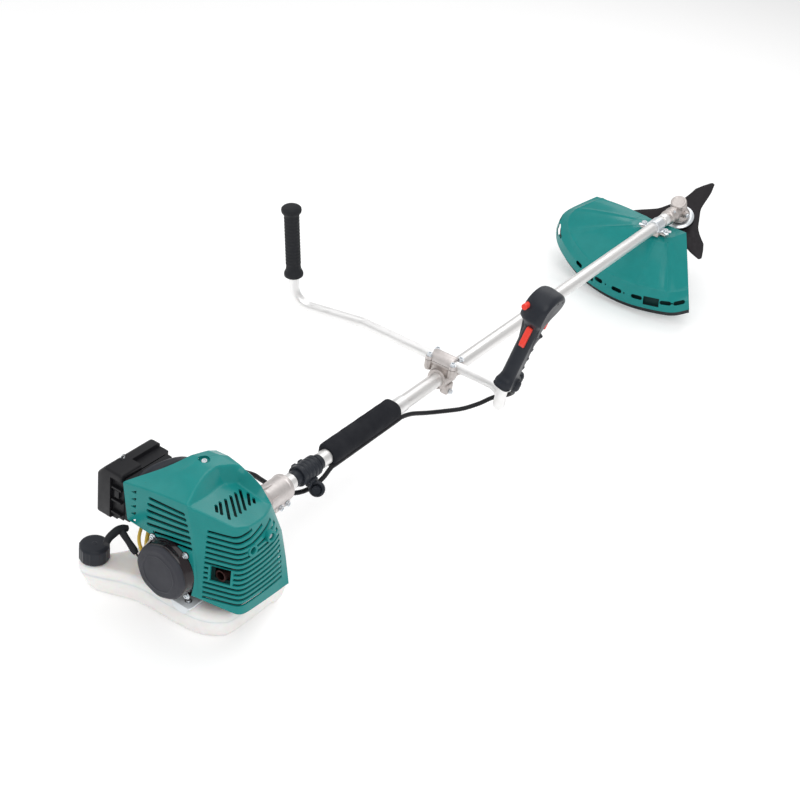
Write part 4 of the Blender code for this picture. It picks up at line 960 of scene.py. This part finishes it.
def build_furniture():
    ridged = [(13.1, 54), (16.5, 54), (17.4, 55)]
    for k in range(5):
        h = 57 + 8.6 * k
        ridged += [(17.4, h), (17.4, h + 4.2), (16.5, h + 4.9), (16.5, h + 7.3)]
    ridged += [(17.4, 98), (13.1, 98)]
    clamp = lathe("harness_band", softened(ridged, 0.5, 2), GRIP_BLACK, SHAFT, 72)
    seat = rounded_edges(box("harness_seat", (8, 66, -20), (20, 85, -6), GRIP_BLACK), 2.5, 3)
    plate = frame_at((25, 76, -22), (0.42, -0.84, 0.34), (0, 0, 1))
    eye = lathe("harness_ring", softened([(6.8, -2), (8.5, -4.0), (11.3, -4.0), (13.2, -2), (13.2, 2),
                                          (11.3, 4.0), (8.5, 4.0), (6.8, 2)], 1.2), GRIP_BLACK, plate, 64)
    band = [rounded_edges(box(f"harness_lug_{k}", (-22.5, 66 + 16 * k, -5), (-13, 76 + 16 * k, 5),
                              GRIP_BLACK), 2, 3) for k in range(2)]
    fuse(clamp, seat, eye, *band)
    cut(clamp, rod("tube_room", (0, 40, 0), (0, 110, 0), TUBE_ROOM, None, 72),
          bore(6.8, -9, 9, plate))
    put(shade(clamp), ["harness_clamp"])

    swell = lambda a, h: 1.0 + 0.22 * math.exp(-((a - math.radians(224)) / 0.42) ** 2)
    lumps = lambda a, h: swell(a, h) * (
        1 + 0.012 * math.sin(h * 0.21 + 2 * math.sin(a)) * math.sin(3 * a + h * 0.05))
    rows = [(13.15, 130), (15, 130), (17, 131.2), (17.9, 134)]
    rows += [(18.0, 134 + k * 6.0) for k in range(1, 30)]
    rows += [(17.9, 314), (17, 316.8), (15, 318), (13.15, 318)]
    foam = lathe("foam_sleeve_fine", rows, FOAM, SHAFT, 72,
                 ripple=lambda a, h: lumps(a, h) if 130.5 < h < 317.5 else 1.0, smooth=60)
    put(foam, ["foam_sleeve"])

    gland = [GRIP @ Vector((11, -14, -2)), GRIP @ Vector((11, -14, -9))]
    route = catmull(gland + [Vector(p) for p in CONDUIT], 10)
    total = sum((b - a).length for a, b in zip(route, route[1:]))
    count = int(total / 1.1)
    even, walk, k = [], 0.0, 0
    for i in range(count + 1):
        want = total * i / count
        while k < len(route) - 2 and walk + (route[k + 1] - route[k]).length < want:
            walk += (route[k + 1] - route[k]).length
            k += 1
        t = (want - walk) / (route[k + 1] - route[k]).length
        even.append(route[k].lerp(route[k + 1], min(1.0, t)))
    rings = lambda i: 1.0 - (0.09 if i % 3 == 2 else 0.0)
    conduit = sweep("throttle_conduit_fine", even, 4.0, BLACK, sides=16, ripple=rings)
    put(conduit, ["throttle_conduit"])
    tip = lathe("cable_adjuster", softened([(0, -3), (2.8, -3), (2.8, 2), (4.2, 2), (4.2, 5), (2.4, 5),
                                            (2.4, 11), (0, 11)], 0.4), ZINC,
                frame_at(CONDUIT[-1], (0, -1, 0)), 24)
    put(tip, None)


# ------------------------------------------------------------------ clutch housing
def build_clutch():
    housing = lathe("clutch_bell", softened([
        (42.5, -100), (52, -100), (52.5, -94), (47, -91), (46, -80), (45, -66), (41, -56), (35, -47),
        (27, -39), (22, -30), (21, -22), (21, 14), (22, 15.5), (22, 20), (21, 22), (13.1, 22),
        (13.1, -8), (9.4, -8), (9.4, -56), (42.5, -62)], 1.2), PALE_CAST, SHAFT, 96)
    lugs = rounded_edges(box("pinch_lugs", (-13, -15, -25), (16, 21, -12), PALE_CAST), 2.0, 3)
    ribs = []
    for k in range(6):
        a = math.radians(30 + 60 * k)
        out = Vector((math.cos(a), 0, math.sin(a)))
        if k == 4:
            continue
        ribs.append(prism("bell_rib", [(-94, 20), (-94, 46.5), (-66, 46.6), (-48, 38), (-30, 25), (-12, 21.6),
                                       (-12, 18)], -1.6, 1.6, PALE_CAST,
                          frame_at((0, 0, 0), Vector((0, 1, 0)).cross(out), (0, 1, 0))))
    fuse(housing, lugs, *ribs)
    cut(housing, rod("tube_room", (0, -7.5, 0), (0, 40, 0), TUBE_ROOM, None, 72),
          rod("drum_room", (0, -120, 0), (0, -60, 0), 42.5, None, 72),
          rod("shaft_room", (0, -70, 0), (0, 10, 0), 9.4, None, 48),
          box("pinch_slit", (-0.8, -18, -40), (0.8, 26, -6), None))
    put(shade(housing, 35), ["clutch_housing"])
    for n, y in enumerate((-4.0, 12.0), 1):
        at = frame_at((16.3, y, -19), (1, 0, 0))
        bolt(f"pinch_screw_{n}", at, 4.2, 4.2, 5.2, f"clutch_pinch_screw_{n}")


# ------------------------------------------------------------------ gear head, blade and guard
BLADE_R, BLADE_S, BLADE_PHASE = 127.5, -31.0, math.radians(9.5)
# one tooth: angle from its middle, share of the blade's radius
BLADE_TOOTH = [(-0.62, 0.405), (-0.48, 0.455), (-0.36, 0.54), (-0.29, 0.63), (-0.235, 0.74), (-0.13, 0.855),
               (-0.028, 0.985), (-0.012, 1.0), (0.035, 1.0), (0.05, 0.985), (0.135, 0.82), (0.185, 0.72),
               (0.235, 0.635), (0.31, 0.54), (0.42, 0.455), (0.55, 0.41)]


def build_head():
    profile = [(0, -18), (19, -18), (21, -16.5), (21, -12.5), (19, -9), (18.6, -4), (18.6, 14),
               (17.6, 15), (17.6, 17.2), (18.4, 18.2), (18.4, 27.4), (16.6, 30), (13.2, 30.3),
               (12.4, 29.6), (0, 29.6)]
    body = lathe("head_body", softened(profile, 0.9), CAST, HEAD, 80)
    collar = lathe("head_neck", softened([
        (13.1, 1396), (15.2, 1396), (15.2, 1402), (13.9, 1403), (13.9, 1405), (17.0, 1407), (17.0, 1413),
        (15.9, 1414.5), (15.9, 1427), (17.3, 1429), (17.3, 1434), (16, 1437), (16, 1464), (0, 1466),
        (0, 1430), (13.1, 1425)], 0.6), CAST, SHAFT, 80)
    side_boss = rod("side_boss", HEAD @ Vector((0, 0, 2)), HEAD @ Vector((24, -8, 2)), 8, CAST, 40)
    skirt = lathe("head_skirt", softened([(0, -18), (24, -18), (25, -15), (22, -8), (18, -4), (0, -4)], 1.5),
                  CAST, HEAD, 64)
    fuse(body, collar, side_boss, skirt)
    cut(body, rod("tube_room", (0, 1380, 0), (0, 1426, 0), TUBE_ROOM, None, 64))
    put(shade(body, 35), ["gear_head"])
    sleeve = lathe("head_sleeve", softened([(13.08, 1376), (14.6, 1376), (14.6, 1395.4), (13.08, 1395.4)],
                                           0.4), BAR, SHAFT, 72)
    bolts = [sleeve]
    bolts += screw("grease_bolt", HEAD @ frame_at((24, -8, 2), (24, -8, 0)), 5.0, 4.0)
    bolts += screw("head_bolt", frame_at((14.6, 1386, 0), (1, 0, 0)), 2.4, 1.2)
    bolts += screw("neck_bolt", frame_at((8, 1421, 13), (0.5, 0, 0.86)), 3.2, 3.0)
    put(shade(join(bolts, "head_screws")), None)

    flange = lathe("blade_flange_fine", softened([
        (5.1, -18.6), (12, -18.6), (13, -21.4), (20, -21.4), (21, -22.2), (29, -22.2), (30, -22.8),
        (34.4, -25), (34.4, -28), (33, -29.7), (26, -29.9), (12.2, -29.9), (12.2, -32), (5.1, -32)], 0.6),
        ZINC, HEAD, 96)
    put(flange, ["blade_flange"], "blade_drive")
    nut = lathe("nut_dish", softened([(5.4, -32.2), (22, -32.2), (22, -34), (19, -35.2), (14, -38),
                                      (10, -38.4), (5.4, -38.4)], 0.6), ZINC, HEAD, 72)
    hexagon = prism("nut_hex", [(10 * math.cos(math.radians(60 * k)), 10 * math.sin(math.radians(60 * k)))
                                for k in range(6)], -47, -38.3, ZINC, HEAD)
    rounded_edges(hexagon, 0.7, 2, 40)
    cut(hexagon, bore(5.3, -60, -30, HEAD, 32))
    put(shade(join([nut, hexagon], "blade_nut_fine")), ["blade_nut"], "blade_drive")

    outline = []
    for k in range(3):
        a0 = math.pi / 2 - BLADE_PHASE - 2 * math.pi * k / 3
        outline += [(BLADE_R * r * math.cos(a0 - t), BLADE_R * r * math.sin(a0 - t)) for t, r in BLADE_TOOTH]
    blade = prism("blade_fine", outline, BLADE_S - 0.8, BLADE_S + 0.8, DARK, HEAD)
    cut(blade, bore(12.7, -60, 0, HEAD))
    put(rounded_edges(blade, 0.35, 2, 50), ["blade"], "blade_drive")


GUARD_RIM = [(-198, -44), (-222, -80), (-240, -112), (-243, -140), (-226, -174), (-196, -203),
             (-150, -231), (-100, -251), (-40, -262), (20, -262), (84, -250), (116, -238),
             (141, -216)]
GUARD_HUB = [(-36, -62), (-40, -72), (-42, -84), (-42, -96), (-40, -106), (-36, -114), (-28, -119),
             (-16, -122), (0, -123), (12, -122), (28, -118), (40, -104), (52, -62)]
FLAP_DROP = 19.5
GUARD_LIFT = (-32.0, -8.0)
GUARD_FINE = 6  # rows between two rim points


def hub_lift(e):
    return (-17.2 - 0.5 * e) / 0.866


def guard_point(u, t):
    """Point on the guard: u from 0 to 12 round the rim, t from -1 at its foot over 0 to 1 at the hub."""
    low, high = GUARD_LIFT
    k = min(int(u), len(GUARD_RIM) - 2)
    f = u - k
    rim = guard_rim_curve[min(int(round(u * GUARD_FINE)), len(guard_rim_curve) - 1)]
    hub = Vector(GUARD_HUB[k]).lerp(Vector(GUARD_HUB[k + 1]), f)
    top = rim * 0.968
    rise = hub_lift(hub.y)
    if t <= 0:
        q = rim.lerp(top, 1 + t)
        return Vector((q.x, q.y, low + (high - low) * (1 + t)))
    q = top.lerp(hub, t)
    bulge = math.sin(math.pi * t) * 6
    climb = 2.4 * t if t < 0.12 else 0.288 + 0.712 * ((t - 0.12) / 0.88) ** 0.95
    # low ribs that fan out from the hub, and the flatter pan between them
    crease = 0.0
    for line, width in ((1.9, 0.12), (4.3, 0.14), (10.55, 0.12)):
        crease += 2.4 * math.exp(-((u - line) / width) ** 2) * min(1, 6 * t) * min(1, 8 * (1 - t))
    edge = 5.0 * math.exp(-(u / 0.5) ** 2) * (1 - t) * min(1, 5 * t)
    lip = 2.2 * math.exp(-((t - 0.9) / 0.03) ** 2) + 2.6 * math.exp(-((t - 0.12) / 0.014) ** 2)
    return Vector((q.x, q.y, high + (rise - high) * climb + bulge + crease - edge + lip * 0.5))


guard_rim_curve = [Vector((p.x, p.y)) for p in catmull([(x, y, 0) for x, y in GUARD_RIM], GUARD_FINE)]


def build_guard():
    stations = [k / GUARD_FINE for k in range(12 * GUARD_FINE + 1)]
    levels = [-1, -0.9, -0.5, -0.12, 0.0, 0.02, 0.05, 0.09, 0.12, 0.15, 0.2, 0.28, 0.37, 0.47, 0.58, 0.69,
              0.79, 0.85, 0.88, 0.9, 0.92, 0.95, 1.0]
    points = [guard_point(u, t) for u in stations for t in levels]
    n = len(levels)
    faces = patches(len(stations), n)
    # flat seat under the shaft, meeting the hub line
    seat = len(points)
    points += [Vector((x, y, hub_lift(y))) for x, y in ((8, -62), (3, -92))]
    for r in range(len(stations) - 1):
        faces.append([r * n + n - 1, (r + 1) * n + n - 1, seat + 1])
    faces += [[n - 1, seat, seat + 1], [(len(stations) - 1) * n + n - 1, seat, seat + 1]]
    guard = open_shell("guard_fine", [HEAD @ p for p in points], faces,
                       lambda fs: max(fs, key=lambda f: f.calc_area()), TEAL)
    bake(guard, ("SOLIDIFY", {"thickness": SKIN * MM, "offset": -1}))
    tools = []
    # openings along the shoulder of the rim: place round the rim, half width, height, shape
    pattern = [(3.0, 9, 10, 0), (3.3, 2, 4, 0), (3.55, 5, 8, 0), (3.9, 12, 20, 1), (4.35, 9, 9, 0),
               (6.3, 11, 10, 0), (6.65, 2, 4, 0), (7.0, 15, 21, 1), (7.5, 11, 10, 0), (7.85, 2, 4, 0),
               (8.3, 13, 10, 0), (8.75, 2, 4, 0), (9.2, 13, 10, 0), (9.75, 18, 21, 1), (10.35, 13, 10, 0),
               (10.85, 2, 4, 0), (11.35, 13, 10, 0)]
    for u, wide, tall, square in pattern:
        along = (guard_point(u + 0.15, -0.45) - guard_point(u, -0.45)).normalized()
        out = Vector((along.y, -along.x, 0)).normalized()
        at = HEAD @ frame_at(guard_point(u, 0.0) - Vector((0, 0, 6.0 if square else 2.0)),
                             out + Vector((0, 0, 0.8)), along)
        if square:
            tools.append(box("rim_slot", (-wide, -tall * 0.5, -24), (wide, tall * 0.5, 16), None, at))
        else:
            reach = wide - tall / 2 + 0.1
            tools.append(slot_tool((-reach, 0), (reach, 0), tall, -24, 16, at))
    cut(guard, *tools)
    put(shade(guard, 24), ["guard"])

    low = GUARD_LIFT[0]
    rows = []
    for p in guard_rim_curve[4 * GUARD_FINE:]:
        o, i = p * 0.983, p * 0.97
        rows.append([Vector((o.x, o.y, low + 6)), Vector((o.x, o.y, low - FLAP_DROP + 1)),
                     Vector((o.x * 0.998, o.y * 0.998, low - FLAP_DROP)), Vector((i.x, i.y, low - FLAP_DROP)),
                     Vector((i.x, i.y, low + 6))])
    # painted shade: a dark teal sheet under the guard, seen through its openings
    skirt = []
    for k in range(2 * GUARD_FINE, 12 * GUARD_FINE + 1):
        skirt.append([])
        for t, shrink in ((-0.8, 0.972), (-0.2, 0.96), (0.06, 0.95), (0.25, 0.95)):
            p = guard_point(k / GUARD_FINE, t)
            skirt[-1].append(Vector((p.x * shrink, p.y * shrink, p.z - 8.0)))
    inner = grid("guard_shade_sheet", skirt, SHADED_TEAL, at=HEAD)
    bake(inner, ("SOLIDIFY", {"thickness": 1.2 * MM, "offset": 0}))
    put(shade(inner), None)
    flap = grid("guard_flap_fine", rows, RUBBER, closed=True, caps=True, at=HEAD)
    put(flap, ["guard_flap"])


def build_guard_mount():
    y0, y1 = 1328.0, 1366.0
    saddle = box("saddle_block", (-17, y0 + 2, -16.8), (17, y1 - 2, -6.2), CAST)
    rounded_edges(saddle, 1.5, 3)
    feet = rounded_edges(box("saddle_feet", (-31, y0 + 8, -10.5), (31, y1 - 8, -6.2), CAST), 1.2, 3)
    fuse(saddle, feet)
    cut(saddle, rod("saddle_bore", (0, 1300, 0), (0, 1400, 0), 13.2, None, 72))
    put(shade(saddle), ["guard_saddle"])
    band = lathe("guard_band", softened([(13.1, y0 + 3), (16.0, y0 + 3), (16.4, y0 + 5), (16.4, y1 - 5),
                                         (16.0, y1 - 3), (13.1, y1 - 3)], 0.5), ZINC, SHAFT, 72)
    wing = [(14, -16), (22, -8), (34, -14), (37, -6), (30, 0), (37, 6), (34, 14), (22, 8), (14, 16)]
    wings = []
    for sx in (-1, 1):
        outline = [(x * sx, y) for x, y in wing]
        if sx < 0:
            outline.reverse()
        wings.append(rounded_edges(prism("band_wing", outline, -5.6, -3.2, ZINC,
                                         frame_at((0, (y0 + y1) / 2, 0), (0, 0, 1), (1, 0, 0))), 0.6, 2))
    trim = box("band_trim", (-50, 1300, -30), (50, 1400, -5.7), None)
    cut(band, trim)
    put(shade(join([band] + wings, "guard_band_fine")), ["guard_clamp"])
    for n, x in enumerate((-26.0, 26.0), 1):
        at = frame_at((x, (y0 + y1) / 2, -2.9), (0, 0, 1))
        bolt(f"guard_bolt_{n}", at, 4.6, 4.6, 6.0, f"guard_screw_{n}")


# ------------------------------------------------------------------ finishes of the other CAD pieces
CAD_LOOKS = {
    # crankcase and cylinder take the near-black cast: painted shade inside the cover
    "crankcase": SHADED_CAST, "cylinder": SHADED_CAST, "carburettor": CAST, "flywheel": CAST,
    "muffler": HOT, "bevel_gear": STEEL, "output_shaft": STEEL, "pinion": STEEL, "clutch_drum": STEEL,
    "crankshaft": STEEL, "clutch_shoe_a": DARK, "clutch_shoe_b": DARK, "drive_shaft": DARK,
    "shaft_liner": BRASS, "throttle_cam": ZINC, "choke_lever": BLACK, "air_filter_base": BLACK,
    "air_filter_element": FOAM, "spark_plug_boot": RUBBER, "primer_bulb": YELLOW, "starter_reel": BLACK,
}


def finish_cad():
    for name, look in CAD_LOOKS.items():
        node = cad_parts[name]
        node.data.materials.clear()
        node.data.materials.append(look)


FLOOR_HALF = 14.0  # metres
LAMPS = [("key", (1.4, -2.0, 2.6), 2.2, 33), ("fill", (-2.4, -1.2, 1.8), 2.4, 12),
         ("rim", (-0.6, 2.6, 2.4), 2.0, 18), ("top", (0.0, 0.0, 3.2), 2.6, 24)]


def build_stage():
    """Pale floor and four soft lamps."""
    centre = (CAD_BOX[0][0] + CAD_BOX[1][0]) / 2
    mesh = bpy.data.meshes.new("floor")
    mesh.from_pydata([(x * FLOOR_HALF, y * FLOOR_HALF, 0) for x, y in ((-1, -1), (1, -1), (1, 1), (-1, 1))],
                     [], [(0, 1, 2, 3)])
    floor = add("floor", mesh)
    look = Look("floor_white", (0.94, 0.94, 0.94), 0.6, Emission_Color=(1, 1, 1, 1), Emission_Strength=0.14)
    look.tint(look.noise(2, 2), (0.9, 0.9, 0.9), 0.2)
    mesh.materials.append(look.done())
    for name, place, size, power in LAMPS:
        data = bpy.data.lights.new(name, "AREA")
        data.shape, data.size, data.energy = "SQUARE", size, power
        lamp = add(name, data)
        lamp.location = (place[0] + centre, place[1], place[2])
        lamp.rotation_euler = (Vector((centre, 0, 0.1)) - lamp.location).to_track_quat("-Z", "Y").to_euler()
    world = bpy.context.scene.world or bpy.data.worlds.new("studio")
    bpy.context.scene.world = world
    world.use_nodes = True
    back = next(n for n in world.node_tree.nodes if n.type == "BACKGROUND")
    back.inputs["Color"].default_value = (1, 1, 1, 1)
    back.inputs["Strength"].default_value = 0.62


for build in (build_shaft, build_handlebar, build_cover, build_starter, build_filter, build_tank,
              build_throttle, build_bar_clamp, build_furniture, build_clutch, build_head, build_guard,
              build_guard_mount, finish_cad, build_stage):
    build()

bpy.context.view_layer.update()
